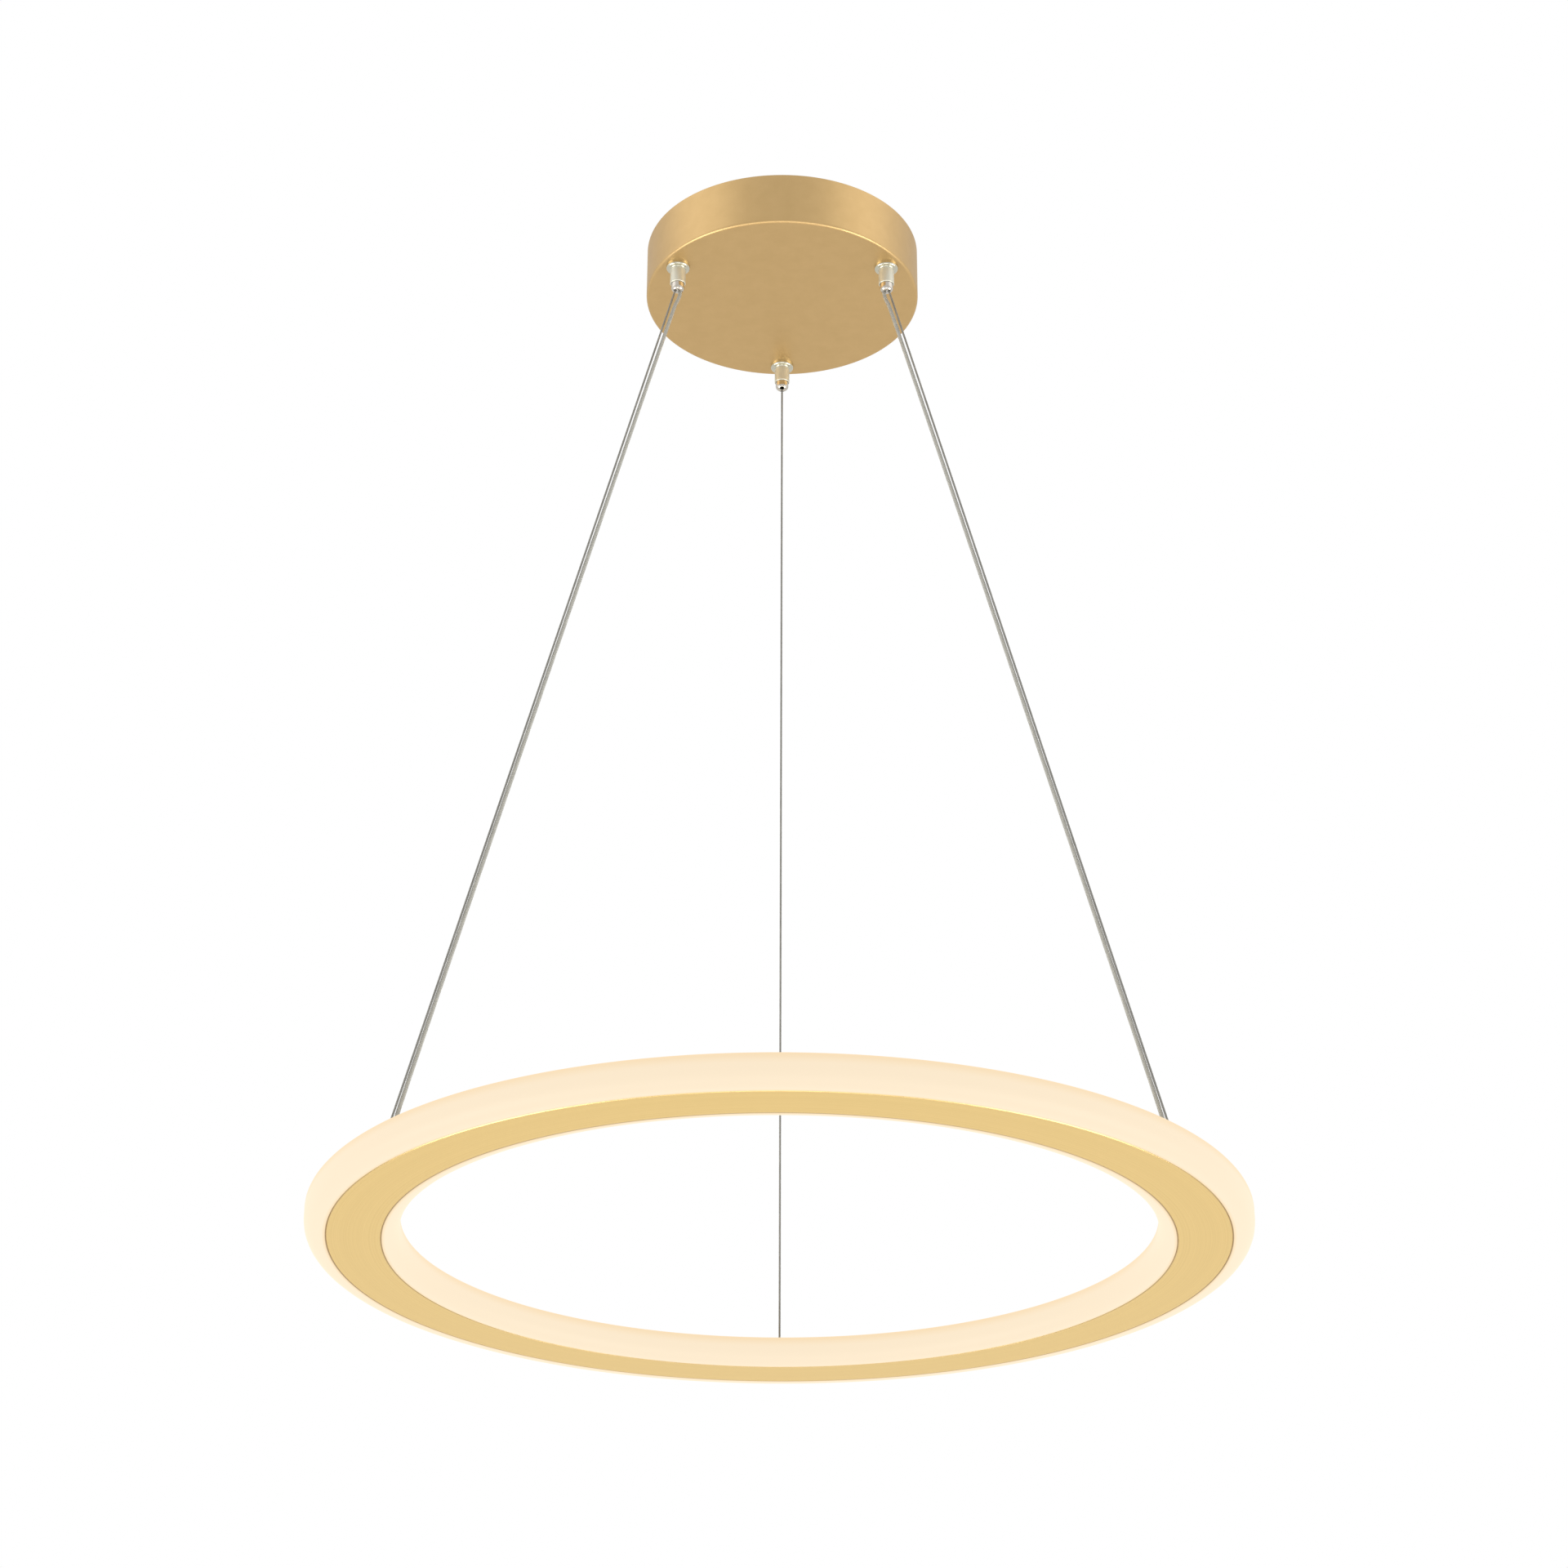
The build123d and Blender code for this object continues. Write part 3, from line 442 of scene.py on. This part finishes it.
zinc, tree, shader = start_material("zinc-plated steel", "#b9babb", 1.0, 0.35)
place = add_node(tree, "ShaderNodeTexCoord").outputs["Object"]
crystals = add_node(tree, "ShaderNodeTexVoronoi", sockets={"Vector": place, "Scale": 450.0})
tree.links.new(
    tint(tree, crystals.outputs["Distance"], "#adafb1", "#c4c5c6", 0.1, 0.8), shader.inputs["Base Color"]
)
tree.links.new(spread(tree, crystals.outputs["Distance"], 0.28, 0.42), shader.inputs["Roughness"])

brass, tree, shader = start_material("turned brass", "#c2a05a", 1.0, 0.28)
tree.links.new(tint(tree, grain(tree, 0.8), "#b8954f", "#cbaa66"), shader.inputs["Base Color"])
print("metals:", [m.name for m in (nickel, satin_nickel, wire_steel, zinc, brass)])

# %% [markdown]
# ## Plastics, tape and circuit boards
# The driver and the terminal block are moulded plastic with a fine spark-eroded grain. The pads
# are foam tape. The boards carry a printed pattern that is drawn coarse enough to show.

# %% Moulded plastic, foam tape and boards
moulded, tree, shader = start_material("white moulded polycarbonate", "#e9e8e4", 0.0, 0.48, 1.58)
add_bump(tree, shader, grain(tree, 0.5), 0.02, 0.5)
tree.links.new(spread(tree, grain(tree, 6.0), 0.43, 0.53), shader.inputs["Roughness"])

foam_tape, tree, shader = start_material("white foam tape", "#dddcd6", 0.0, 0.92)
add_bump(tree, shader, grain(tree, 0.9, 4.0), 0.15, 0.8)

board, tree, shader = start_material("green solder mask on glass epoxy", "#1f5a38", 0.0, 0.3, 1.5)
place = add_node(tree, "ShaderNodeTexCoord").outputs["Object"]
tracks = add_node(
    tree,
    "ShaderNodeTexBrick",
    sockets={
        "Vector": place,
        "Scale": 180.0,
        "Mortar Size": 0.06,
        "Color1": linear("#1d5434"),
        "Color2": linear("#22603d"),
        "Mortar": linear("#3c8a58"),
    },
)
tree.links.new(tracks.outputs["Color"], shader.inputs["Base Color"])

strip_board, tree, shader = start_material("white flexible circuit", "#f2f0ea", 0.0, 0.4, 1.5)
tree.links.new(tint(tree, grain(tree, 4.0), "#ecebe4", "#f6f4ef"), shader.inputs["Base Color"])

phosphor, tree, shader = start_material("phosphor gel on a chip", "#f0d060", 0.0, 0.35, 1.41)
tree.links.new(tint(tree, grain(tree, 0.4), "#ecc94e", "#f4d97a"), shader.inputs["Base Color"])
shader.inputs["Emission Color"].default_value = linear("#ffe2b0")
shader.inputs["Emission Strength"].default_value = 1.5
print("plastics:", [m.name for m in (moulded, foam_tape, board, strip_board, phosphor)])

# %% [markdown]
# ## Clear and coloured insulation
# The hanging leads have a clear, slightly cloudy PVC jacket over two tinned cores. Inside the
# canopy the mains wires are brown, blue, and green with yellow stripes.


# %% PVC jackets
def make_pvc(name, colour):
    """Soft glossy PVC with a faint wave in its surface from extrusion."""
    material, tree, shader = start_material(name, colour, 0.0, 0.32, 1.53)
    add_bump(tree, shader, grain(tree, 3.0), 0.02, 0.3)
    return material


brown_pvc = make_pvc("brown PVC insulation", "#5b3620")
blue_pvc = make_pvc("blue PVC insulation", "#2a5fa8")
earth_pvc, tree, shader = start_material("green and yellow PVC insulation", "#3f8f3a", 0.0, 0.32, 1.53)
place = add_node(tree, "ShaderNodeTexCoord").outputs["Object"]
stripes = add_node(tree, "ShaderNodeTexWave", sockets={"Vector": place, "Scale": 60.0})
tree.links.new(
    tint(tree, stripes.outputs["Fac"], "#3b8a36", "#e3c93a", 0.48, 0.52), shader.inputs["Base Color"]
)

clear_pvc, tree, shader = start_material("clear PVC jacket", "#dedcd2", 0.0, 0.28, 1.53)
shader.inputs["Transmission Weight"].default_value = 0.5
tree.links.new(spread(tree, grain(tree, 15.0), 0.2, 0.26), shader.inputs["Roughness"])

tinned_copper, tree, shader = start_material("tinned copper strand", "#aaa79e", 1.0, 0.45)
tree.links.new(tint(tree, grain(tree, 1.0), "#a29f96", "#b2afa6"), shader.inputs["Base Color"])
print("jackets:", [m.name for m in (brown_pvc, blue_pvc, earth_pvc, clear_pvc)])

# %% [markdown]
# ## Finishes on the CAD pieces
# Most CAD pieces already have the right shape. Each gets its finish by name. The names say what a
# piece is, so one short table covers them all.

# %% Give every CAD node its finish
finish_by_name = {
    "canopy_cover": canopy_gold,
    "ring_profile": ring_gold,
    "ring_top_cover": ring_gold,
    "outer_diffuser": lit_silicone,
    "inner_diffuser": lit_silicone,
    "gripper_body": satin_nickel,
    "release_sleeve": nickel,
    "gripper_nuts": nickel,
    "cable_anchor": nickel,
    "clamp_balls": wire_steel,
    "gripper_spring": wire_steel,
    "cable_tail": wire_steel,
    "cable_ends": wire_steel,
    "suspension_cable": wire_steel,
    "ceiling_bracket": zinc,
    "canopy_side_screws": zinc,
    "driver_screws": zinc,
    "cover_screws": zinc,
    "earth_screw": brass,
    "terminal_screws": brass,
    "driver_case": moulded,
    "driver_lid": moulded,
    "terminal_block": moulded,
    "strip_connector": moulded,
    "lead_grommets": clear_pvc,
    "adhesive_pads": foam_tape,
    "driver_board": board,
    "led_strip": strip_board,
    "led_chips": phosphor,
    "power_lead": clear_pvc,
    "lead_tail": clear_pvc,
    "lead_end": clear_pvc,
    "feed_wires": brown_pvc,
    "mains_lead_live": brown_pvc,
    "mains_lead_neutral": blue_pvc,
    "earth_lead": earth_pvc,
}
for name, node in nodes.items():
    finish = next(value for start, value in finish_by_name.items() if name.startswith(start))
    node.data.materials.clear()
    node.data.materials.append(finish)
print("finished CAD nodes:", len(nodes))

# %% [markdown]
# ## Cables and leads as curves
# A steel cable hangs dead straight under load. The clear lead beside it leaves the gripper
# straight down, then runs along the cable and drops into the ring. Each is a smooth NURBS curve
# with the same few points as in the CAD model. The last point beside the cable pulls the curve
# harder than the others, so the lead lies close to the cable until just above the ring.

# %% Routes of the hanging cords
side_angles = {"left": 210, "right": 330, "back": 90}
cable_points = ((88.0, -61.0), (181.5, -400.0), (274.5, -737.2))
lead_points = (
    (83.9, -61.0),
    (83.9, -65.0),
    (90.4, -78.0),
    (269.6, -728.0),
    (266.4, -738.0),
    (266.3, -742.2),
)
lead_pull = (1, 1, 1, 6, 1, 1)


def route_curve(name, angle, points, pull):
    """A smooth curve on an upright plane. Each point is outward and up, in millimetres."""
    curve = bpy.data.curves.new(name, "CURVE")
    curve.dimensions = "3D"
    curve.resolution_u = 24
    spline = curve.splines.new("NURBS")
    spline.points.add(len(points) - 1)
    for point, (outward, height), weight in zip(spline.points, points, pull):
        outward, height = outward / 1000, height / 1000
        point.co = (outward * cos(radians(angle)), outward * sin(radians(angle)), height, weight)
    spline.order_u = 3
    spline.use_endpoint_u = True
    route = bpy.data.objects.new(name, curve)
    bpy.context.scene.collection.objects.link(route)
    return route


def plain_mesh(source, name):
    """The evaluated shape of an object as a new plain mesh."""
    bpy.context.view_layer.update()
    evaluated = source.evaluated_get(bpy.context.evaluated_depsgraph_get())
    mesh = bpy.data.meshes.new_from_object(evaluated)
    mesh.name = name
    return mesh


routes = {}
for side, angle in side_angles.items():
    routes[f"suspension_cable_{side}"] = route_curve(
        f"cable route {side}", angle, cable_points, (1, 1, 1)
    )
for side in ("left", "right"):
    routes[f"power_lead_{side}"] = route_curve(
        f"lead route {side}", side_angles[side], lead_points, lead_pull
    )
print("routes:", sorted(routes))

# %% [markdown]
# ## One node tree for anything that is twisted or drawn along a curve
# A steel cable is six strands laid round a core, and a lead is a jacket over two twisted cores.
# Both are the same idea: copies of the route, each moved out from it and turned as it goes along,
# then given a round section. Geometry Nodes does this with named sizes, so one tree serves all.


# %% Twisted strands tree
def start_tree(name, inputs):
    """A new Geometry Nodes tree with its named inputs. Returns it and what it is given."""
    tree = bpy.data.node_groups.new(name, "GeometryNodeTree")
    face = tree.interface
    face.new_socket("Geometry", in_out="INPUT", socket_type="NodeSocketGeometry")
    for label, kind, value in inputs:
        socket = face.new_socket(label, in_out="INPUT", socket_type=f"NodeSocket{kind}")
        socket.default_value = value
    face.new_socket("Material", in_out="INPUT", socket_type="NodeSocketMaterial")
    face.new_socket("Geometry", in_out="OUTPUT", socket_type="NodeSocketGeometry")
    return tree, tree.nodes.new("NodeGroupInput").outputs


def end_tree(tree, solid, material):
    """Smooth a mesh, make its instances real, give it its material and send it out."""
    smooth = add_node(tree, "GeometryNodeSetShadeSmooth", sockets={"Geometry": solid})
    real = add_node(tree, "GeometryNodeRealizeInstances", sockets={0: smooth.outputs[0]})
    painted = add_node(
        tree, "GeometryNodeSetMaterial", sockets={"Geometry": real.outputs[0], "Material": material}
    )
    add_node(tree, "NodeGroupOutput", sockets={0: painted.outputs[0]})
    return tree


def make_strand_tree():
    """Copies of a curve, laid round it in a helix, each with a round section."""
    inputs = (
        ("Strands", "Int", 6),
        ("Strand radius", "Float", 0.00025),
        ("Lay radius", "Float", 0.0005),
        ("Lay length", "Float", 0.01),
        ("Step", "Float", 0.0015),
        ("Sides", "Int", 6),
    )
    tree, given = start_tree("twisted strands", inputs)
    even = add_node(
        tree,
        "GeometryNodeResampleCurve",
        {"mode": "LENGTH"},
        {"Curve": given["Geometry"], "Length": given["Step"]},
    )
    copies = add_node(
        tree,
        "GeometryNodeDuplicateElements",
        {"domain": "SPLINE"},
        {"Geometry": even.outputs[0], "Amount": given["Strands"]},
    )
    along = add_node(tree, "GeometryNodeSplineParameter")
    turns = add_node(
        tree, "ShaderNodeMath", {"operation": "DIVIDE"}, {0: along.outputs["Length"], 1: given["Lay length"]}
    )
    share = add_node(
        tree,
        "ShaderNodeMath",
        {"operation": "DIVIDE"},
        {0: copies.outputs["Duplicate Index"], 1: given["Strands"]},
    )
    angle = add_node(
        tree, "ShaderNodeMath", {"operation": "ADD"}, {0: turns.outputs[0], 1: share.outputs[0]}
    )
    angle = add_node(tree, "ShaderNodeMath", {"operation": "MULTIPLY"}, {0: angle.outputs[0], 1: 2 * pi})
    normal = add_node(tree, "GeometryNodeInputNormal").outputs[0]
    tangent = add_node(tree, "GeometryNodeInputTangent").outputs[0]
    turned_normal = add_node(
        tree,
        "ShaderNodeVectorRotate",
        {"rotation_type": "AXIS_ANGLE"},
        {"Vector": normal, "Axis": tangent, "Angle": angle.outputs[0]},
    )
    shift = add_node(
        tree,
        "ShaderNodeVectorMath",
        {"operation": "SCALE"},
        {0: turned_normal.outputs[0], "Scale": given["Lay radius"]},
    )
    laid = add_node(
        tree,
        "GeometryNodeSetPosition",
        sockets={"Geometry": copies.outputs["Geometry"], "Offset": shift.outputs[0]},
    )
    section = add_node(
        tree,
        "GeometryNodeCurvePrimitiveCircle",
        sockets={"Resolution": given["Sides"], "Radius": given["Strand radius"]},
    )
    solid = add_node(
        tree,
        "GeometryNodeCurveToMesh",
        sockets={"Curve": laid.outputs[0], "Profile Curve": section.outputs[0], "Fill Caps": True},
    )
    return end_tree(tree, solid.outputs[0], given["Material"])


strand_tree = make_strand_tree()


def run_tree(source, tree, name, **values):
    """Put a node tree on an object, set its named inputs, and return the result as a new object."""
    modifier = source.modifiers.new(tree.name, "NODES")
    modifier.node_group = tree
    identifiers = {item.name: item.identifier for item in tree.interface.items_tree}
    for label, value in values.items():
        modifier[identifiers[label.replace("_", " ")]] = value
    mesh = plain_mesh(source, name)
    source.modifiers.remove(modifier)
    piece = bpy.data.objects.new(name, mesh)
    bpy.context.scene.collection.objects.link(piece)
    return piece


print("tree inputs:", [i.name for i in strand_tree.interface.items_tree if i.in_out == "INPUT"])

# %% [markdown]
# ## The steel cables
# Six strands of 0.54 mm are laid round a core of nearly the same size, and a little into it, which
# makes a 1.5 mm cable. The real lay is about 10 mm long. When the ring is raised, the cable is
# drawn into its gripper; this piece keeps its full length.


def measure(points):
    """The length of a line of points."""
    return sum((b - a).length for a, b in zip(points, points[1:]))


def draw_up(piece):
    """Give a hanging cord its own copy of its mesh; it keeps its full length."""
    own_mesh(piece)


def route_line(name):
    """The points of a route's smooth curve, read from its evaluated mesh."""
    return [v.co.copy() for v in plain_mesh(routes[name], f"{name} line").vertices]


def join(target, *others):
    """Join mesh objects into the first."""
    with bpy.context.temp_override(active_object=target, selected_editable_objects=[target, *others]):
        bpy.ops.object.join()


for side in side_angles:
    name = f"suspension_cable_{side}"
    route = routes[name]
    cable = run_tree(
        route,
        strand_tree,
        f"stranded_cable_{side}",
        Strands=6,
        Strand_radius=0.00027,
        Lay_radius=0.00048,
        Lay_length=0.010,
        Step=0.0014,
        Sides=6,
        Material=wire_steel,
    )
    core = run_tree(
        route,
        strand_tree,
        f"cable_core_{side}",
        Strands=1,
        Strand_radius=0.00028,
        Lay_radius=0.0,
        Lay_length=1.0,
        Step=0.02,
        Sides=8,
        Material=wire_steel,
    )
    join(cable, core)
    line = route_line(name)
    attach(cable, "canopy")
    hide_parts(name)
    draw_up(cable)
    print(cable.name, "length", round(measure(line), 4), "triangles", len(cable.data.polygons) * 2)

# %% [markdown]
# ## The clear leads
# The jacket is 2.6 mm thick. Two tinned cores of 0.8 mm twist slowly inside it and show through.

# %% Clear power leads
for side in ("left", "right"):
    name = f"power_lead_{side}"
    jacket = run_tree(
        routes[name],
        strand_tree,
        f"lead_jacket_{side}",
        Strands=1,
        Strand_radius=0.0013,
        Lay_radius=0.0,
        Lay_length=1.0,
        Step=0.004,
        Sides=20,
        Material=clear_pvc,
    )
    cores = run_tree(
        routes[name],
        strand_tree,
        f"lead_cores_{side}",
        Strands=2,
        Strand_radius=0.0004,
        Lay_radius=0.00045,
        Lay_length=0.06,
        Step=0.003,
        Sides=8,
        Material=tinned_copper,
    )
    join(jacket, cores)
    line = route_line(name)
    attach(jacket, "canopy")
    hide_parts(name)
    draw_up(jacket)
    print(jacket.name, "length", round(measure(line), 4), "triangles", len(jacket.data.polygons) * 2)

for route in routes.values():
    bpy.data.objects.remove(route)

# %% [markdown]
# ## The springs in the grippers
# Inside each gripper a small coil presses the clamp balls down. Pushing the nose up shortens the
# coil from below, while its top stays put. Geometry Nodes winds it from its turns, its height and
# the thickness of its wire. Height and radius are read from the CAD piece that it stands for.


# %% Coil springs
def make_coil_tree():
    """A coil that climbs from the origin, with a round wire and capped ends."""
    inputs = (
        ("Turns", "Float", 7.0),
        ("Height", "Float", 0.01),
        ("Coil radius", "Float", 0.001),
        ("Wire radius", "Float", 0.0002),
    )
    tree, given = start_tree("coil spring", inputs)
    coil = add_node(
        tree,
        "GeometryNodeCurveSpiral",
        sockets={
            "Resolution": 20,
            "Rotations": given["Turns"],
            "Start Radius": given["Coil radius"],
            "End Radius": given["Coil radius"],
            "Height": given["Height"],
        },
    )
    wire = add_node(
        tree,
        "GeometryNodeCurvePrimitiveCircle",
        sockets={"Resolution": 8, "Radius": given["Wire radius"]},
    )
    solid = add_node(
        tree,
        "GeometryNodeCurveToMesh",
        sockets={"Curve": coil.outputs[0], "Profile Curve": wire.outputs[0], "Fill Caps": True},
    )
    return end_tree(tree, solid.outputs[0], given["Material"])


coil_tree = make_coil_tree()
spring_wire = 0.0002
spring_turns = 7.0
for side in side_angles:
    name = f"gripper_spring_{side}"
    low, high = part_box(name)
    height = high.z - low.z - 2 * spring_wire
    start = bpy.data.objects.new("coil start", bpy.data.meshes.new("coil start"))
    bpy.context.scene.collection.objects.link(start)
    spring = run_tree(
        start,
        coil_tree,
        f"coil_spring_{side}",
        Turns=spring_turns,
        Height=height,
        Coil_radius=(high.x - low.x) / 2 - spring_wire,
        Wire_radius=spring_wire,
        Material=wire_steel,
    )
    bpy.data.objects.remove(start)
    middle = (low + high) / 2
    spring.data.transform(Matrix.Translation((middle.x, middle.y, low.z + spring_wire)))
    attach(spring, "canopy")
    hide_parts(name)
    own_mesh(spring)
    print(spring.name, "height", round(height * 1000, 2), "mm, faces", len(spring.data.polygons))

# %% [markdown]
# ## The diffusers, swept round the ring
# Each diffuser is one section carried round a circle: a generous curve below, a small one above,
# and a lip that lies on the cover. The section is drawn as a few corners, and Geometry Nodes
# rounds them and sweeps the result, so the whole lens comes from a handful of sizes.


# %% Swept ring tree
def make_sweep_tree():
    """Round the corners of a section and carry it round a circle."""
    inputs = (
        ("Radius", "Float", 0.286),
        ("Segments", "Int", 256),
        ("Corner steps", "Int", 5),
    )
    tree, given = start_tree("swept ring", inputs)
    rounding = add_node(
        tree, "GeometryNodeInputNamedAttribute", {"data_type": "FLOAT"}, {"Name": "rounding"}
    )
    outline = add_node(tree, "GeometryNodeMeshToCurve", sockets={"Mesh": given["Geometry"]})
    rounded = add_node(
        tree,
        "GeometryNodeFilletCurve",
        {"mode": "POLY"},
        {
            "Curve": outline.outputs[0],
            "Radius": rounding.outputs["Attribute"],
            "Count": given["Corner steps"],
        },
    )
    circle = add_node(
        tree,
        "GeometryNodeCurvePrimitiveCircle",
        sockets={"Resolution": given["Segments"], "Radius": given["Radius"]},
    )
    swept = add_node(
        tree,
        "GeometryNodeCurveToMesh",
        sockets={"Curve": circle.outputs[0], "Profile Curve": rounded.outputs[0]},
    )
    return end_tree(tree, swept.outputs[0], given["Material"])


sweep_tree = make_sweep_tree()
print("tree inputs:", [i.name for i in sweep_tree.interface.items_tree if i.in_out == "INPUT"])


# %% Inner and outer diffuser
round_segments = 288
lens_height = 19.0
lens_under_lip = lens_height - 1.5
lens_edge = 0.1
lip_reach = 3.2
hook_inside = lip_reach - 1.2
hook_low = lens_under_lip - 1.4
outer_bulge = 14.0
inner_bulge = 11.5


def section_object(name, corners):
    """A closed outline from (out, up, rounding) corners in millimetres, drawn on the XY plane."""
    mesh = bpy.data.meshes.new(name)
    count = len(corners)
    points = [(out / 1000, up / 1000, 0.0) for out, up, _ in corners]
    mesh.from_pydata(points, [(i, (i + 1) % count) for i in range(count)], [])
    rounding = mesh.attributes.new("rounding", "FLOAT", "POINT")
    for item, (_, _, radius) in zip(rounding.data, corners):
        item.value = radius / 1000
    section = bpy.data.objects.new(name, mesh)
    bpy.context.scene.collection.objects.link(section)
    return section


def face_outwards(piece):
    """Merge doubled points and turn all faces of a closed mesh outwards."""
    shape = bmesh.new()
    shape.from_mesh(piece.data)
    bmesh.ops.remove_doubles(shape, verts=shape.verts, dist=1e-6)
    bmesh.ops.recalc_face_normals(shape, faces=shape.faces)
    shape.to_mesh(piece.data)
    shape.free()


def make_diffuser(name, radius, side, bulge):
    """A lens round one edge of the gold face. side is 1 outside it and -1 inside it."""
    corners = (
        (lens_edge, 0.0, 0.6),
        (bulge, 0.0, 9.0),
        (bulge, lens_height, 4.0),
        (-lip_reach, lens_height, 0.4),
        (-lip_reach, hook_low, 0.0),
        (-hook_inside, hook_low, 0.0),
        (-hook_inside, lens_under_lip, 0.0),
        (lens_edge, lens_under_lip, 0.0),
    )
    section = section_object(f"{name} section", [(side * out, -up, turn) for out, up, turn in corners])
    lens = run_tree(
        section,
        sweep_tree,
        name,
        Radius=radius,
        Segments=round_segments,
        Corner_steps=6,
        Material=lit_silicone,
    )
    bpy.data.objects.remove(section)
    lens.data.transform(Matrix.Translation((0, 0, ring_low)))
    face_outwards(lens)
    return lens


for name, node, radius, side, bulge in (
    ("outer_lens", "outer_diffuser", face_outer_radius, 1, outer_bulge),
    ("inner_lens", "inner_diffuser", face_inner_radius, -1, inner_bulge),
):
    lens = make_diffuser(name, radius, side, bulge)
    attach(lens, "ring")
    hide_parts(node)
    low = min(v.co.z for v in lens.data.vertices)
    high = max(v.co.z for v in lens.data.vertices)
    wide = max(v.co.x for v in lens.data.vertices)
    print(name, "z", round(low, 4), round(high, 4), "x", round(wide, 4), "faces", len(lens.data.polygons))

# %% [markdown]
# ## The canopy, swept with a rounder rim
# The pressed rim of the real canopy is rounder than the 1 mm of the CAD piece, and that is what
# catches the light. The same tree sweeps its section, which reaches in to the axis, so the sweep
# closes into a cup. Then the holes for the three grippers and the two side screws are cut.


# %% Canopy cup with its holes
nearly_level = 0.9999
nearly_upright = 0.001
sharp_edge = radians(30)
hole_segments = 40


def face_kind(face):
    """Level, upright or round: where two kinds meet, the shading changes cleanly."""
    rise = abs(face.normal.z)
    return "level" if rise > nearly_level else "upright" if rise < nearly_upright else "round"


def cut_holes(piece, holes):
    """Cut round holes, each given by its start, its end and its radius in metres."""
    shape = bmesh.new()
    for start, end, radius in holes:
        start, end = Vector(start), Vector(end)
        turn = (end - start).to_track_quat("Z", "Y").to_matrix().to_4x4()
        bmesh.ops.create_cone(
            shape,
            cap_ends=True,
            segments=hole_segments,
            radius1=radius,
            radius2=radius,
            depth=(end - start).length,
            matrix=Matrix.Translation((start + end) / 2) @ turn,
        )
    cutter = bpy.data.objects.new("hole cutter", bpy.data.meshes.new("hole cutter"))
    shape.to_mesh(cutter.data)
    shape.free()
    bpy.context.scene.collection.objects.link(cutter)
    modifier = piece.modifiers.new("holes", "BOOLEAN")
    modifier.operation = "DIFFERENCE"
    modifier.solver = "EXACT"
    modifier.object = cutter
    mesh = plain_mesh(piece, f"{piece.name} mesh")
    piece.modifiers.remove(modifier)
    piece.data = mesh
    bpy.data.objects.remove(cutter)


def shade_cleanly(piece):
    """Smooth shading that breaks at steep edges and where flat and rounded faces meet."""
    shape = bmesh.new()
    shape.from_mesh(piece.data)
    for face in shape.faces:
        face.smooth = True
    for edge in shape.edges:
        kinds = {face_kind(face) for face in edge.link_faces}
        edge.smooth = len(kinds) == 1 and edge.calc_face_angle(0.0) < sharp_edge
    shape.to_mesh(piece.data)
    shape.free()


cup_low, cup_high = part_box("canopy_cover")
cup_radius = cup_high.x
cup_height = (cup_high.z - cup_low.z) * 1000
reach_in = -cup_radius * 1000
cup_rim, cup_wall, cup_floor = 2.0, 1.2, 1.5
gripper_circle, gripper_hole = 0.086, 0.0051
side_screw_height, side_screw_hole = -0.01, 0.0022
hole_below, hole_above = 0.001, 0.003
hole_inside, hole_outside = 0.095, 0.1
cup_corners = (
    (0.0, 0.0, cup_rim),
    (0.0, cup_height, 0.2),
    (-cup_wall, cup_height, 0.2),
    (-cup_wall, cup_floor, 0.5),
    (reach_in, cup_floor, 0.0),
    (reach_in, 0.0, 0.0),
)
section = section_object("cup section", [(out, -up, turn) for out, up, turn in cup_corners])
cup = run_tree(
    section,
    sweep_tree,
    "canopy_cup",
    Radius=cup_radius,
    Segments=round_segments,
    Corner_steps=7,
    Material=canopy_gold,
)
bpy.data.objects.remove(section)
cup.data.transform(Matrix.Translation((0, 0, cup_low.z)))
face_outwards(cup)
holes = []
for angle in side_angles.values():
    x, y = gripper_circle * cos(radians(angle)), gripper_circle * sin(radians(angle))
    start = (x, y, cup_low.z - hole_below)
    end = (x, y, cup_low.z + hole_above)
    holes.append((start, end, gripper_hole))
for way in (-1, 1):
    start = (way * hole_inside, 0, side_screw_height)
    end = (way * hole_outside, 0, side_screw_height)
    holes.append((start, end, side_screw_hole))
cut_holes(cup, holes)
shade_cleanly(cup)
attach(cup, "canopy")
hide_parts("canopy_cover")
print("canopy cup faces:", len(cup.data.polygons), "holes:", len(holes))

# %% Print the visual size
low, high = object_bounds()
print("visual size:", [round(v, 4) for v in high - low])
